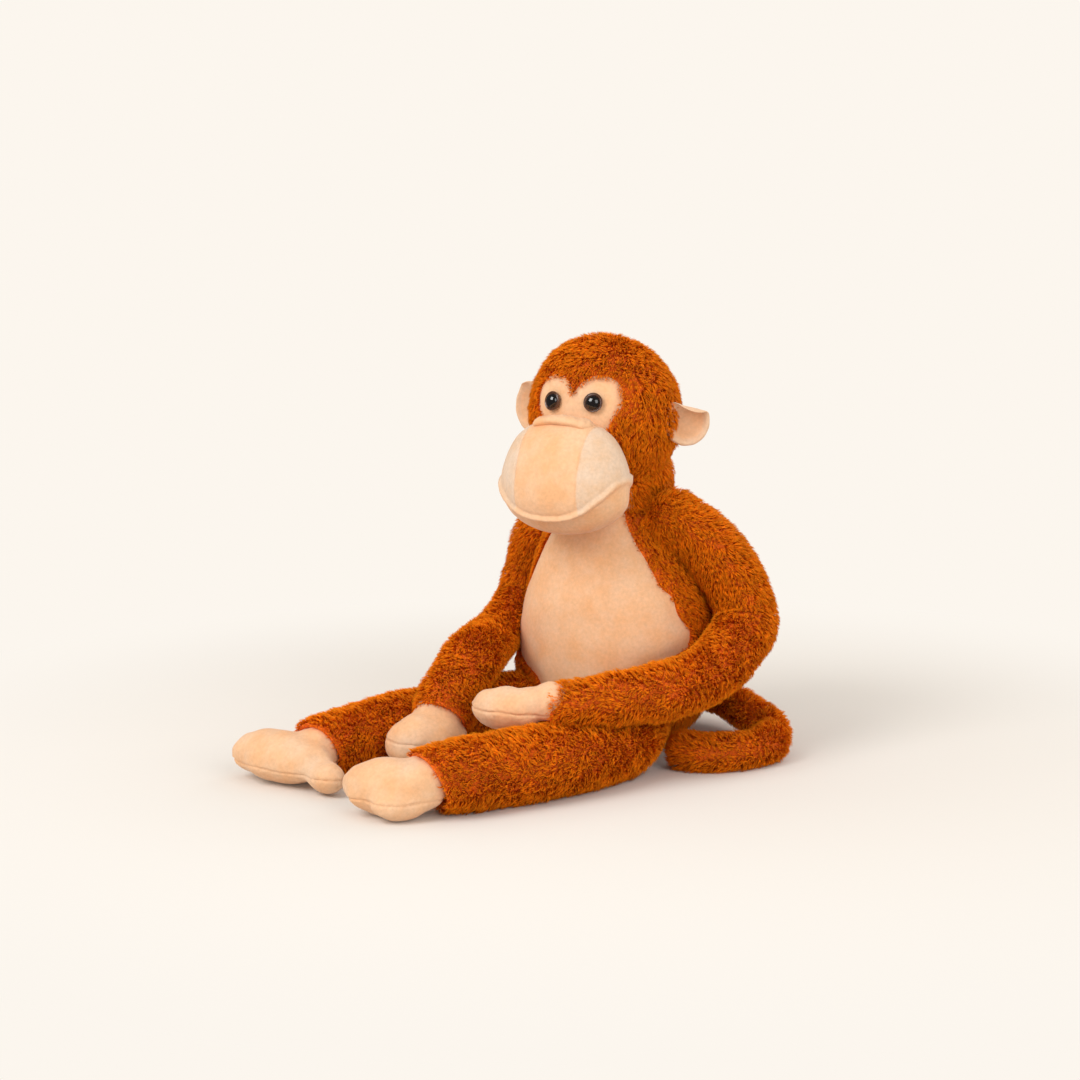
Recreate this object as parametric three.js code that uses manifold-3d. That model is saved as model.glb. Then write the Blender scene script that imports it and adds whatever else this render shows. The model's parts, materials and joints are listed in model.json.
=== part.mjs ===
// A seated stuffed monkey: stuffed fur sections, velour face, belly, hands and feet.
// Millimetres, +Z up, seat on z = 0, the monkey faces -Y and its left side is +X.
import * as THREE from 'three';
import { mergeVertices } from 'three/addons/utils/BufferGeometryUtils.js';
import Module from 'manifold-3d';

const wasm = await Module();
wasm.setup();

// Fabric and clearances
const FABRIC = 2;
const GAP = 0.6;
const FILLING_GAP = 1.3;
const JOINT_GAP = 1.2;
const STUFFING_HOLE = 3;
const RIM_SETBACK = 0.62;

// Torso: an upright egg with a flat seat
const TORSO_HEIGHT = 182;
const TORSO_WIDTH = 71;
const TORSO_DEPTH_LOW = 0.93;
const TORSO_DEPTH_HIGH = 0.86;
const TORSO_LEAN = 12;
const SEAT_RADIUS = 33;
const SEAT_PATCH_RADIUS = 28;
const BELLY_DEPTH = { front: -90, back: -6 };
const PELLETS_AT = new THREE.Vector3(0, 4, 24);
const PELLET_RADII = new THREE.Vector3(36, 30, 17);
const PELLET_CLEARANCE = 0.8;
const PELLET_OPENING = 5;

// Neck and head
const NECK = new THREE.Vector3(0, -4, 189);
const NECK_RADIUS = 36;
const NECK_CLEARANCE = 2;
const NECK_FILLING_INSET = 3;
const NECK_BAND_TOP = Math.PI * 0.22;
const HEAD = new THREE.Vector3(0, -20, 240);
const HEAD_RADII = new THREE.Vector3(54, 50, 53);
const FOREHEAD_FLATTENING = 0.88;
const MUZZLE = new THREE.Vector3(0, -72, 190);
const MUZZLE_RADII = new THREE.Vector3(50.5, 34, 32);
const MUZZLE_RISE = 50;
const MUZZLE_FULLNESS = 0.4;
const MUZZLE_SEAM = 25;
const MUZZLE_BACK = -50;
const SMILE_HEIGHT = 171;
const SMILE_RISE = 28;
const SMILE_CURVE = 2.6;
const NOSE_PAD = new THREE.Vector3(0, -82, 240);
const NOSE_PAD_RADII = new THREE.Vector3(24, 8, 6.5);

// A box with room for the whole muzzle, used to cut it up
const MUZZLE_SPACE = { side: 70, low: 120, high: 260, front: -140, back: 20 };

// Eyes and ears
const EYE_SPACING = 32;
const EYE_HEIGHT = 251;
const EYE_RADIUS = 5.3;
const EYE_RING_RADIUS = 6.8;
const EYE_BASE = 1.2;
const EYE_DOME = 3.6;
const SHANK_RADIUS = 1.8;
const SHANK_LENGTH = 9;
const SHANK_CLEARANCE = 0.3;
const WASHER_RADIUS = 6;
const WASHER_DEPTH = 5;
const WASHER_THICKNESS = 1.4;
const EYE_LOBE = { spread: 17, height: 252.5, radius: 17.5 };
const FACE_BASE = { top: 247, waist: 230, low: 205, topHalf: 32, lowHalf: 25 };
const EAR_HINGE = new THREE.Vector3(53, -18, 237);
const EAR_RADIUS = 17;
const EAR_OUTREACH = 12;
const EAR_SWEEP = Math.PI / 5;
const EAR_DEPTH = 6.5;
const EAR_RIM = 1;
const EAR_LINING_INSET = 3;

// Limb joints of each side, and the direction the limb runs in at each joint
const ARMS = {
  left: {
    shoulder: [51, -8, 166],
    elbow: [107, -18, 85],
    wrist: [41, -162, 62],
    shoulderRun: [0.83, 0.42, -0.35],
    elbowRun: [0, -0.87, -0.42],
    wristRun: [-0.78, -0.62, -0.1],
    palm: [13, -170, 55],
    palmRadii: [27, 17, 15],
    palmRun: [-0.98, -0.16],
  },
  right: {
    shoulder: [-51, 2, 166],
    elbow: [-85, -27, 86],
    wrist: [-53, -140, 47],
    shoulderRun: [-0.8, 0, -0.6],
    elbowRun: [0.08, -0.85, -0.5],
    wristRun: [0.1, -0.75, -0.6],
    palm: [-54, -168, 24],
    palmRadii: [31, 21, 20],
    palmRun: [-0.63, -0.78],
  },
};
const ARM_RADII = { shoulder: 16.5, elbow: 18, wrist: 13.5 };
const HEEL_INSET = 2.5;
const HEEL_SHARE = 0.5;
const LEGS = {
  left: {
    hip: [48, -50, 29],
    knee: [57, -132, 24],
    ankle: [3, -257, 22],
    hipRun: [0.2, -1, 0],
    kneeRun: [-0.14, -1, 0],
    ankleRun: [-0.42, -0.9, 0],
  },
  right: {
    hip: [-48, -50, 29],
    knee: [-92, -140, 23],
    ankle: [-108, -222, 21],
    hipRun: [-0.5, -0.9, 0],
    kneeRun: [-0.28, -0.96, 0],
    ankleRun: [-0.12, -1, 0],
  },
};
const LEG_RADII = { hip: 18, knee: 21, ankle: 18 };

// Tail: three curled sections lying on the floor to the monkey's left
const TAIL_POINTS = [[14, 66, 24], [86, 44, 20], [129, -8, 13]];
const TAIL_RUNS = [[0.6, 0.8, 0], [0.75, -0.6, -0.1], [0.2, -0.95, -0.1]];
const TAIL_END = [90, -60, 12];
const TAIL_END_RUN = [-0.98, 0.15, 0];
const TAIL_RADIUS = 8;

// Mesh fineness
const ROUND = 12;
const ARC_STEPS = 3;
const STRAIGHT_STEPS = 2;
const BEND_PER_STEP = Math.PI / 18;
const LOBE_ROUND = 10;
const TAIL_ROUND = 12;
const TIP_STEPS = 9;
const SOCKET_ROUND = 12;
const TORSO_ROUND = 20;
const HEAD_ROUND = 18;
const EAR_ROUND = 12;

const group = new THREE.Group();

function vector(values) {
  return new THREE.Vector3(...values);
}

// ---- geometry helpers ----

function signedVolume(geometry) {
  const index = geometry.index.array;
  const position = geometry.attributes.position;
  const [a, b, c] = [new THREE.Vector3(), new THREE.Vector3(), new THREE.Vector3()];
  let sum = 0;
  for (let i = 0; i < index.length; i += 3) {
    a.fromBufferAttribute(position, index[i]);
    b.fromBufferAttribute(position, index[i + 1]);
    c.fromBufferAttribute(position, index[i + 2]);
    sum += a.dot(b.cross(c)) / 6;
  }
  return sum;
}

// One closed surface with shared corners, facing outwards.
function closed(geometry) {
  const bare = geometry.clone();
  bare.deleteAttribute('normal');
  bare.deleteAttribute('uv');
  const merged = mergeVertices(bare, 1e-4);
  const faces = [];
  const index = merged.index.array;
  for (let i = 0; i < index.length; i += 3) {
    const [a, b, c] = [index[i], index[i + 1], index[i + 2]];
    if (a !== b && b !== c && c !== a) {
      faces.push(a, b, c);
    }
  }
  merged.setIndex(faces);
  if (signedVolume(merged) < 0) {
    merged.setIndex(faces.reverse());
  }
  return merged;
}

function solid(geometry) {
  const shape = closed(geometry);
  const mesh = new wasm.Mesh({
    numProp: 3,
    vertProperties: Float32Array.from(shape.attributes.position.array),
    triVerts: Uint32Array.from(shape.index.array),
  });
  return new wasm.Manifold(mesh);
}

function surface(body) {
  const mesh = body.getMesh();
  const geometry = new THREE.BufferGeometry();
  const corners = Float32Array.from(mesh.vertProperties);
  geometry.setAttribute('position', new THREE.BufferAttribute(corners, 3));
  geometry.setIndex(Array.from(mesh.triVerts));
  return geometry;
}

function addPiece(name, geometry, material) {
  const tidy = closed(geometry);
  tidy.computeVertexNormals();
  const mesh = new THREE.Mesh(tidy, material.clone());
  mesh.name = name;
  group.add(mesh);
}

function fabric(color, roughness) {
  return new THREE.MeshStandardMaterial({ color, roughness, metalness: 0 });
}

const FUR = fabric(0xb5580f, 0.95);
const VELOUR = fabric(0xf0bd88, 0.85);
const FILLING = fabric(0xf4f1ea, 1);
const PELLETS = fabric(0xd8d4c8, 0.9);
const BLACK_PLASTIC = fabric(0x080706, 0.15);
const BROWN_PLASTIC = fabric(0x3a1c0c, 0.3);
const WHITE_PLASTIC = fabric(0xe8e8e4, 0.5);

// ---- primitive solids ----

// A body turned about Z from a list of [radius, height] corners.
function turned(profile, round = ROUND) {
  const points = profile.map(([radius, height]) => new THREE.Vector2(radius, height));
  const geometry = new THREE.LatheGeometry(points, round);
  geometry.rotateX(Math.PI / 2);
  return geometry;
}

function ellipsoid(centre, radii, round = ROUND) {
  const geometry = new THREE.SphereGeometry(1, round, Math.round(round * 0.7));
  geometry.rotateX(Math.PI / 2);
  geometry.scale(radii.x, radii.y, radii.z);
  geometry.translate(centre.x, centre.y, centre.z);
  return geometry;
}

function ball(centre, radius, round = ROUND) {
  return solid(ellipsoid(centre, new THREE.Vector3(radius, radius, radius), round));
}

function aimed(geometry, centre, direction) {
  const up = new THREE.Vector3(0, 0, 1);
  const turn = new THREE.Quaternion().setFromUnitVectors(up, direction.clone().normalize());
  geometry.applyQuaternion(turn);
  geometry.translate(centre.x, centre.y, centre.z);
  return geometry;
}

// A round bar from the centre along a direction, starting at `from` and ending at `to`.
function bar(centre, direction, radius, from, to, round = ROUND) {
  return aimed(turned([[0, from], [radius, from], [radius, to], [0, to]], round), centre, direction);
}

// A flat outline in X and Z pushed through along Y.
function pushedThroughY(outline, nearY, farY) {
  const shape = new THREE.Shape(outline.map(([x, z]) => new THREE.Vector2(x, z)));
  const geometry = new THREE.ExtrudeGeometry(shape, { depth: farY - nearY, bevelEnabled: false });
  geometry.rotateX(Math.PI / 2);
  geometry.translate(0, farY, 0);
  return solid(geometry);
}

// ---- stuffed limb sections ----

// Corners of an arc about a point on the axis; angles are measured from +Z.
function arc(centreHeight, radius, fromAngle, toAngle) {
  const corners = [];
  for (let step = 0; step <= ARC_STEPS; step += 1) {
    const angle = fromAngle + (toAngle - fromAngle) * step / ARC_STEPS;
    corners.push([radius * Math.sin(angle), centreHeight + radius * Math.cos(angle)]);
  }
  return corners;
}

// Corners along a side, strictly between its two ends.
function side(fromRadius, toRadius, fromHeight, toHeight, steps) {
  const corners = [];
  for (let step = 1; step < steps; step += 1) {
    const share = step / steps;
    const radius = THREE.MathUtils.lerp(fromRadius, toRadius, share);
    corners.push([radius, THREE.MathUtils.lerp(fromHeight, toHeight, share)]);
  }
  return corners;
}

// A fabric tube: a dome about its own joint, and a hollow cup around the next joint's dome.
function sleeveProfile(length, startRadius, endRadius, nextDome, steps) {
  const cup = nextDome + JOINT_GAP;
  const cupBack = cup + FABRIC;
  const rimHeight = length - RIM_SETBACK * endRadius;
  const rimAngle = Math.PI - Math.acos((length - rimHeight) / cup);
  const holeAngle = Math.PI - Math.asin(STUFFING_HOLE / cup);
  const holeBackAngle = Math.PI - Math.asin(STUFFING_HOLE / cupBack);
  const innerStart = startRadius - FABRIC;
  const innerEnd = endRadius - FABRIC;
  const innerEndAngle = Math.PI - Math.asin(innerEnd / cupBack);
  const innerEndHeight = length + cupBack * Math.cos(innerEndAngle);
  return [
    ...arc(0, startRadius, Math.PI, Math.PI / 2),
    ...side(startRadius, endRadius, 0, rimHeight, steps),
    [endRadius, rimHeight],
    ...arc(length, cup, rimAngle, holeAngle),
    ...arc(length, cupBack, holeBackAngle, innerEndAngle),
    ...side(innerEnd, innerStart, innerEndHeight, 0, steps),
    ...arc(0, innerStart, Math.PI / 2, Math.PI),
  ];
}

// The filling of a fabric tube. `ballRadius` leaves room for a ball of filling at the joint.
function fillingProfile(length, startRadius, endRadius, nextDome, ballRadius, steps) {
  const innerStart = startRadius - FABRIC - FILLING_GAP;
  const innerEnd = endRadius - FABRIC - FILLING_GAP;
  const end = length - nextDome - JOINT_GAP - FABRIC - GAP;
  const start = ballRadius > 0 ? ballRadius + 2 * GAP : 0;
  const firstCorners = ballRadius > 0
    ? [[0, start], [innerStart * 0.8, start]]
    : arc(0, innerStart, Math.PI, Math.PI / 2);
  return [
    ...firstCorners,
    ...side(innerStart, innerEnd, start, end, steps),
    [innerEnd * 0.92, end - 1],
    [innerEnd * 0.8, end],
    [0, end],
  ];
}

// A smooth run between two joints that ends straight, so the cup stays round.
function limbRun(from, to, fromRun, toRun, straightEnd) {
  const end = to.clone().addScaledVector(toRun, -straightEnd);
  const reach = from.distanceTo(end) / 3;
  const run = new THREE.CurvePath();
  run.add(new THREE.CubicBezierCurve3(
    from,
    from.clone().addScaledVector(fromRun, reach),
    end.clone().addScaledVector(toRun, -reach),
    end,
  ));
  run.add(new THREE.LineCurve3(end, to));
  return run;
}

// The direction a run bends about; any level crossways direction will do for a straight one.
function bendNormal(run) {
  const first = run.getTangentAt(0);
  const last = run.getTangentAt(1);
  const normal = new THREE.Vector3().crossVectors(first, last);
  if (normal.length() < 0.2) {
    normal.set(-first.y, first.x, 0);
  }
  return normal.normalize();
}

// Moves a straight body, whose axis is +Z from the joint, onto a curved run.
function laidAlong(geometry, run) {
  const length = run.getLength();
  const sideways = bendNormal(run);
  const position = geometry.attributes.position;
  for (let i = 0; i < position.count; i += 1) {
    const height = position.getZ(i);
    const along = Math.min(Math.max(height, 0), length);
    const point = run.getPointAt(along / length);
    const ahead = run.getTangentAt(along / length);
    const across = new THREE.Vector3().crossVectors(sideways, ahead).normalize();
    const up = new THREE.Vector3().crossVectors(ahead, across);
    point.addScaledVector(ahead, height - along);
    point.addScaledVector(across, position.getX(i));
    point.addScaledVector(up, position.getY(i));
    position.setXYZ(i, point.x, point.y, point.z);
  }
  return geometry;
}

function limbSection(names, joints, runs, radii, hasBall) {
  const [from, to] = joints.map(vector);
  const [fromRun, toRun] = runs.map((run) => vector(run).normalize());
  const [startRadius, endRadius, nextDome] = radii;
  const straightEnd = nextDome + JOINT_GAP + FABRIC + 1;
  const run = limbRun(from, to, fromRun, toRun, straightEnd);
  const length = run.getLength();
  const ballRadius = hasBall ? startRadius - FABRIC - 2 * GAP : 0;
  const steps = STRAIGHT_STEPS + Math.ceil(fromRun.angleTo(toRun) / BEND_PER_STEP);
  const sleeve = turned(sleeveProfile(length, startRadius, endRadius, nextDome, steps));
  addPiece(names.sleeve, laidAlong(sleeve, run), FUR);
  const filling = turned(fillingProfile(length, startRadius, endRadius, nextDome, ballRadius, steps));
  addPiece(names.filling, laidAlong(filling, run), FILLING);
  if (hasBall) {
    addPiece(names.ball, surface(ball(from, ballRadius, LOBE_ROUND)), FILLING);
  }
}

// ---- velour bags made of rounded lobes ----

// Union of lobes, each shrunk by the same amount; a lobe is {centre, radii, turn}.
function lobes(list, shrink) {
  let whole = null;
  for (const lobe of list) {
    const radii = vector(lobe.radii).subScalar(shrink);
    const geometry = ellipsoid(new THREE.Vector3(), radii, LOBE_ROUND);
    geometry.rotateZ(lobe.turn);
    geometry.translate(...lobe.centre);
    whole = whole ? whole.add(solid(geometry)) : solid(geometry);
  }
  return whole;
}

function velourBag(names, list, joint, run) {
  const outer = lobes(list, 0);
  const inner = lobes(list, FABRIC);
  const filling = lobes(list, FABRIC + GAP);
  const hole = solid(bar(joint, run, STUFFING_HOLE, -list[0].radii[0] - 2, 0, 6));
  addPiece(names.bag, surface(outer.subtract(inner).subtract(hole)), VELOUR);
  addPiece(names.filling, surface(filling), FILLING);
}

function lobe(centre, radii, turn) {
  return { centre, radii, turn };
}

// ---- arms, legs, hands and feet ----

function heading(run) {
  return Math.atan2(run[1], run[0]);
}

function arm(sideName) {
  const joints = ARMS[sideName];
  const { shoulder, elbow, wrist } = ARM_RADII;
  const upper = {
    sleeve: `upper_arm_fur_${sideName}`,
    filling: `upper_arm_filling_${sideName}`,
    ball: `shoulder_filling_${sideName}`,
  };
  const fore = { sleeve: `forearm_fur_${sideName}`, filling: `forearm_filling_${sideName}` };
  limbSection(upper, [joints.shoulder, joints.elbow], [joints.shoulderRun, joints.elbowRun],
    [shoulder, elbow, elbow], true);
  limbSection(fore, [joints.elbow, joints.wrist], [joints.elbowRun, joints.wristRun],
    [elbow, wrist + 1, wrist], false);
  const heel = vector(joints.wrist).lerp(vector(joints.palm), HEEL_SHARE).toArray();
  const [, palmWidth, palmHeight] = joints.palmRadii.map((radius) => radius - HEEL_INSET);
  const hand = [
    lobe(joints.wrist, [wrist, wrist, wrist], 0),
    lobe(heel, [palmWidth, palmWidth, palmHeight], 0),
    lobe(joints.palm, joints.palmRadii, heading(joints.palmRun)),
  ];
  const names = { bag: `hand_${sideName}`, filling: `hand_filling_${sideName}` };
  velourBag(names, hand, vector(joints.wrist), vector(joints.wristRun));
}

function leg(sideName, footLobes) {
  const joints = LEGS[sideName];
  const { hip, knee, ankle } = LEG_RADII;
  const thigh = {
    sleeve: `thigh_fur_${sideName}`,
    filling: `thigh_filling_${sideName}`,
    ball: `hip_filling_${sideName}`,
  };
  const shin = { sleeve: `shin_fur_${sideName}`, filling: `shin_filling_${sideName}` };
  limbSection(thigh, [joints.hip, joints.knee], [joints.hipRun, joints.kneeRun],
    [hip, knee, knee], true);
  limbSection(shin, [joints.knee, joints.ankle], [joints.kneeRun, joints.ankleRun],
    [knee, ankle + 2, ankle], false);
  const names = { bag: `foot_${sideName}`, filling: `foot_filling_${sideName}` };
  const ankleLobe = lobe(joints.ankle, [ankle, ankle, ankle], 0);
  velourBag(names, [ankleLobe, ...footLobes], vector(joints.ankle), vector(joints.ankleRun));
}

function tail() {
  const names = ['root', 'middle', 'tip'];
  const joints = [...TAIL_POINTS, TAIL_END];
  const runs = [...TAIL_RUNS, TAIL_END_RUN];
  for (let i = 0; i < 2; i += 1) {
    const section = { sleeve: `tail_${names[i]}_fur`, filling: `tail_${names[i]}_filling` };
    limbSection(section, [joints[i], joints[i + 1]], [runs[i], runs[i + 1]],
      [TAIL_RADIUS, TAIL_RADIUS, TAIL_RADIUS], false);
  }
  const run = limbRun(vector(joints[2]), vector(joints[3]), vector(runs[2]).normalize(),
    vector(runs[3]).normalize(), 1);
  const tip = turned(closedTubeProfile(run.getLength(), TAIL_RADIUS), TAIL_ROUND);
  addPiece('tail_tip_fur', laidAlong(tip, run), FUR);
  const filling = turned(roundedBarProfile(run.getLength(), TAIL_RADIUS - FABRIC - GAP), TAIL_ROUND);
  addPiece('tail_tip_filling', laidAlong(filling, run), FILLING);
}

// A tube with a dome at each end and a small hole at its joint end.
function closedTubeProfile(length, radius) {
  const inner = radius - FABRIC;
  const holeAngle = Math.PI - Math.asin(STUFFING_HOLE / radius);
  const holeBackAngle = Math.PI - Math.asin(STUFFING_HOLE / inner);
  return [
    ...arc(length, radius, 0, Math.PI / 2),
    ...side(radius, radius, length, 0, TIP_STEPS),
    ...arc(0, radius, Math.PI / 2, holeAngle),
    ...arc(0, inner, holeBackAngle, Math.PI / 2),
    ...side(inner, inner, 0, length, TIP_STEPS),
    ...arc(length, inner, Math.PI / 2, 0),
  ];
}

function roundedBarProfile(length, radius) {
  return [
    ...arc(0, radius, Math.PI, Math.PI / 2),
    ...side(radius, radius, 0, length, TIP_STEPS),
    ...arc(length, radius, Math.PI / 2, 0),
  ];
}

// ---- torso ----

// The egg, shrunk on every side by `shrink`.
function torsoEgg(shrink) {
  const width = TORSO_WIDTH - shrink;
  const top = TORSO_HEIGHT - shrink;
  const stations = [
    [SEAT_RADIUS, 0],
    [width * 0.8, 0.08],
    [width * 0.96, 0.2],
    [width, 0.36],
    [width * 0.94, 0.53],
    [width * 0.76, 0.72],
    [width * 0.57, 0.88],
    [width * 0.38, 0.97],
  ];
  const spline = new THREE.SplineCurve(stations.map(([radius, share]) => (
    new THREE.Vector2(radius, shrink + (top - shrink) * share)
  )));
  const corners = spline.getPoints(10).map((point) => [point.x, point.y]);
  const geometry = turned([[0, shrink], ...corners, [0, top]], TORSO_ROUND);
  const position = geometry.attributes.position;
  for (let i = 0; i < position.count; i += 1) {
    const share = THREE.MathUtils.smoothstep(position.getZ(i), 40, TORSO_HEIGHT);
    const depth = THREE.MathUtils.lerp(TORSO_DEPTH_LOW, TORSO_DEPTH_HIGH, share);
    position.setY(i, position.getY(i) * depth - TORSO_LEAN * share);
  }
  return solid(geometry);
}

// Every joint ball that reaches into the torso, grown by its clearance.
function socketsOf(extra) {
  let sockets = ball(NECK, NECK_RADIUS + FABRIC + NECK_CLEARANCE - JOINT_GAP + extra, SOCKET_ROUND);
  for (const sideName of ['left', 'right']) {
    const shoulder = vector(ARMS[sideName].shoulder);
    const hip = vector(LEGS[sideName].hip);
    sockets = sockets.add(ball(shoulder, ARM_RADII.shoulder + extra, SOCKET_ROUND));
    sockets = sockets.add(ball(hip, LEG_RADII.hip + extra, SOCKET_ROUND));
  }
  return sockets.add(ball(vector(TAIL_POINTS[0]), TAIL_RADIUS + extra, LOBE_ROUND));
}

// Pear-shaped outline of the belly panel, wide below and narrow at the neck.
function bellyOutline(grow) {
  const halfWidths = [[10, 14], [24, 24], [47, 34], [56, 55], [67, 68], [86, 68],
    [115, 58], [140, 45], [162, 32], [185, 22]];
  const right = halfWidths.map(([height, half]) => [half + grow, height]);
  const left = halfWidths.map(([height, half]) => [-half - grow, height]).reverse();
  return [...right, ...left];
}

// A disc through the flat seat.
function seatDisc(radius) {
  return solid(bar(new THREE.Vector3(), new THREE.Vector3(0, 0, 1), radius, -5, 8, TORSO_ROUND));
}

function torso() {
  const sockets = socketsOf(JOINT_GAP);
  const skin = torsoEgg(0).subtract(torsoEgg(FABRIC)).subtract(sockets);
  const { front, back } = BELLY_DEPTH;
  const bellyCut = pushedThroughY(bellyOutline(0), front, back);
  const bellyHole = pushedThroughY(bellyOutline(GAP), front, back + GAP);
  const seatCut = seatDisc(SEAT_PATCH_RADIUS);
  const seatHole = seatDisc(SEAT_PATCH_RADIUS + GAP);
  addPiece('torso_fur', surface(skin.subtract(bellyHole).subtract(seatHole)), FUR);
  addPiece('belly_panel', surface(skin.intersect(bellyCut)), VELOUR);
  addPiece('seat_panel', surface(skin.intersect(seatCut)), FUR);
  const pelletBag = ellipsoid(PELLETS_AT, PELLET_RADII);
  const pelletRoom = ellipsoid(PELLETS_AT, PELLET_RADII.clone().addScalar(PELLET_CLEARANCE));
  const filling = torsoEgg(FABRIC + GAP).subtract(socketsOf(JOINT_GAP + GAP));
  const down = new THREE.Vector3(0, 0, -1);
  const opening = solid(bar(PELLETS_AT, down, PELLET_OPENING, 0, 2 * PELLETS_AT.z, LOBE_ROUND));
  addPiece('torso_filling', surface(filling.subtract(solid(pelletRoom)).subtract(opening)), FILLING);
  addPiece('pellet_bag', pelletBag, PELLETS);
}

// ---- head ----

function headEgg(grow) {
  const radii = HEAD_RADII.clone().addScalar(grow);
  const geometry = ellipsoid(new THREE.Vector3(), radii, HEAD_ROUND);
  const position = geometry.attributes.position;
  for (let i = 0; i < position.count; i += 1) {
    const y = position.getY(i);
    position.setY(i, y < 0 ? y * FOREHEAD_FLATTENING : y);
  }
  geometry.translate(HEAD.x, HEAD.y, HEAD.z);
  return solid(geometry);
}

// Two round eye lobes that meet in a point between the brows, above a broad base.
function faceCut(grow) {
  let cut = null;
  for (const x of [-EYE_LOBE.spread, EYE_LOBE.spread]) {
    const centre = new THREE.Vector3(x, 0, EYE_LOBE.height);
    const forwards = new THREE.Vector3(0, -1, 0);
    const lobeBar = solid(bar(centre, forwards, EYE_LOBE.radius + grow, 30, 120, TORSO_ROUND));
    cut = cut ? cut.add(lobeBar) : lobeBar;
  }
  const { top, waist, low, topHalf, lowHalf } = FACE_BASE;
  const base = [[-topHalf - grow, top], [-lowHalf - grow, waist], [-lowHalf - grow, low - grow],
    [lowHalf + grow, low - grow], [lowHalf + grow, waist], [topHalf + grow, top]];
  return cut.add(pushedThroughY(base, -120, -30));
}

function eyePlace(sideSign) {
  const x = sideSign * EYE_SPACING / 2;
  const z = EYE_HEIGHT - HEAD.z;
  const share = 1 - (x / HEAD_RADII.x) ** 2 - (z / HEAD_RADII.z) ** 2;
  const frontDepth = HEAD_RADII.y * FOREHEAD_FLATTENING;
  const y = -frontDepth * Math.sqrt(share);
  const facing = new THREE.Vector3(x / HEAD_RADII.x ** 2, y / frontDepth ** 2, z / HEAD_RADII.z ** 2);
  return { centre: new THREE.Vector3(x, HEAD.y + y, EYE_HEIGHT), facing: facing.normalize() };
}

function eyeRoom(radius, depth) {
  const left = eyePlace(1);
  const right = eyePlace(-1);
  return solid(bar(left.centre, left.facing, radius, -depth, 3, LOBE_ROUND))
    .add(solid(bar(right.centre, right.facing, radius, -depth, 3, LOBE_ROUND)));
}

// A domed button on a shank that goes through the face.
function eyeProfile() {
  return [
    [0, -SHANK_LENGTH],
    [SHANK_RADIUS, -SHANK_LENGTH],
    [SHANK_RADIUS, EYE_BASE],
    [EYE_RADIUS, EYE_BASE],
    [EYE_RADIUS, EYE_BASE + 0.22 * EYE_DOME],
    [EYE_RADIUS * 0.87, EYE_BASE + 0.55 * EYE_DOME],
    [EYE_RADIUS * 0.5, EYE_BASE + 0.92 * EYE_DOME],
    [0, EYE_BASE + 1.05 * EYE_DOME],
  ];
}

function ringProfile() {
  const inner = EYE_RADIUS + SHANK_CLEARANCE;
  const top = EYE_BASE + 1.4;
  return [
    [inner, EYE_BASE],
    [EYE_RING_RADIUS, EYE_BASE],
    [EYE_RING_RADIUS, top - 0.5],
    [EYE_RING_RADIUS - 0.6, top],
    [inner, top],
    [inner, EYE_BASE],
  ];
}

// The lock washer that holds the eye from inside the head.
function washerProfile() {
  const hole = SHANK_RADIUS + SHANK_CLEARANCE;
  const back = -WASHER_DEPTH - WASHER_THICKNESS;
  return [[hole, back], [hole, -WASHER_DEPTH], [WASHER_RADIUS, -WASHER_DEPTH],
    [WASHER_RADIUS, back], [hole, back]];
}

function eye(sideName, sideSign) {
  const { centre, facing } = eyePlace(sideSign);
  addPiece(`eye_${sideName}`, aimed(turned(eyeProfile()), centre, facing), BLACK_PLASTIC);
  addPiece(`eye_ring_${sideName}`, aimed(turned(ringProfile()), centre, facing), BROWN_PLASTIC);
  const washer = aimed(turned(washerProfile(), LOBE_ROUND), centre, facing);
  addPiece(`eye_washer_${sideName}`, washer, WHITE_PLASTIC);
}

// The stuffed muzzle: an egg whose upper half is taller and fuller.
function muzzleEgg(grow) {
  const radii = MUZZLE_RADII.clone().addScalar(grow);
  const geometry = ellipsoid(new THREE.Vector3(), radii, HEAD_ROUND);
  const position = geometry.attributes.position;
  for (let i = 0; i < position.count; i += 1) {
    const share = Math.max(position.getZ(i) / radii.z, 0);
    position.setX(i, position.getX(i) * (1 + MUZZLE_FULLNESS * share ** 4));
    position.setZ(i, share > 0 ? share * (MUZZLE_RISE + grow) : position.getZ(i));
  }
  geometry.translate(MUZZLE.x, MUZZLE.y, MUZZLE.z);
  return solid(geometry);
}

// Everything below the smile, a curve that rises towards both cheeks, and the back under the chin.
function belowSmile(drop) {
  const { side: reach, low, front, back } = MUZZLE_SPACE;
  const outline = [[-reach, low], [reach, low]];
  for (let x = reach; x >= -reach; x -= reach / 7) {
    const rise = SMILE_RISE * Math.abs(x / MUZZLE_RADII.x) ** SMILE_CURVE;
    outline.push([x, SMILE_HEIGHT - drop + rise]);
  }
  const cheekHeight = SMILE_HEIGHT + SMILE_RISE - drop;
  const underChin = [[-reach, low], [reach, low], [reach, cheekHeight], [-reach, cheekHeight]];
  return pushedThroughY(outline, front, back).add(pushedThroughY(underChin, drop - 60, back));
}

function upright(fromX, toX) {
  const { low, high } = MUZZLE_SPACE;
  return [[fromX, low], [toX, low], [toX, high], [fromX, high]];
}

function slab(fromX, toX) {
  return pushedThroughY(upright(fromX, toX), MUZZLE_SPACE.front, MUZZLE_SPACE.back);
}

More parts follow.
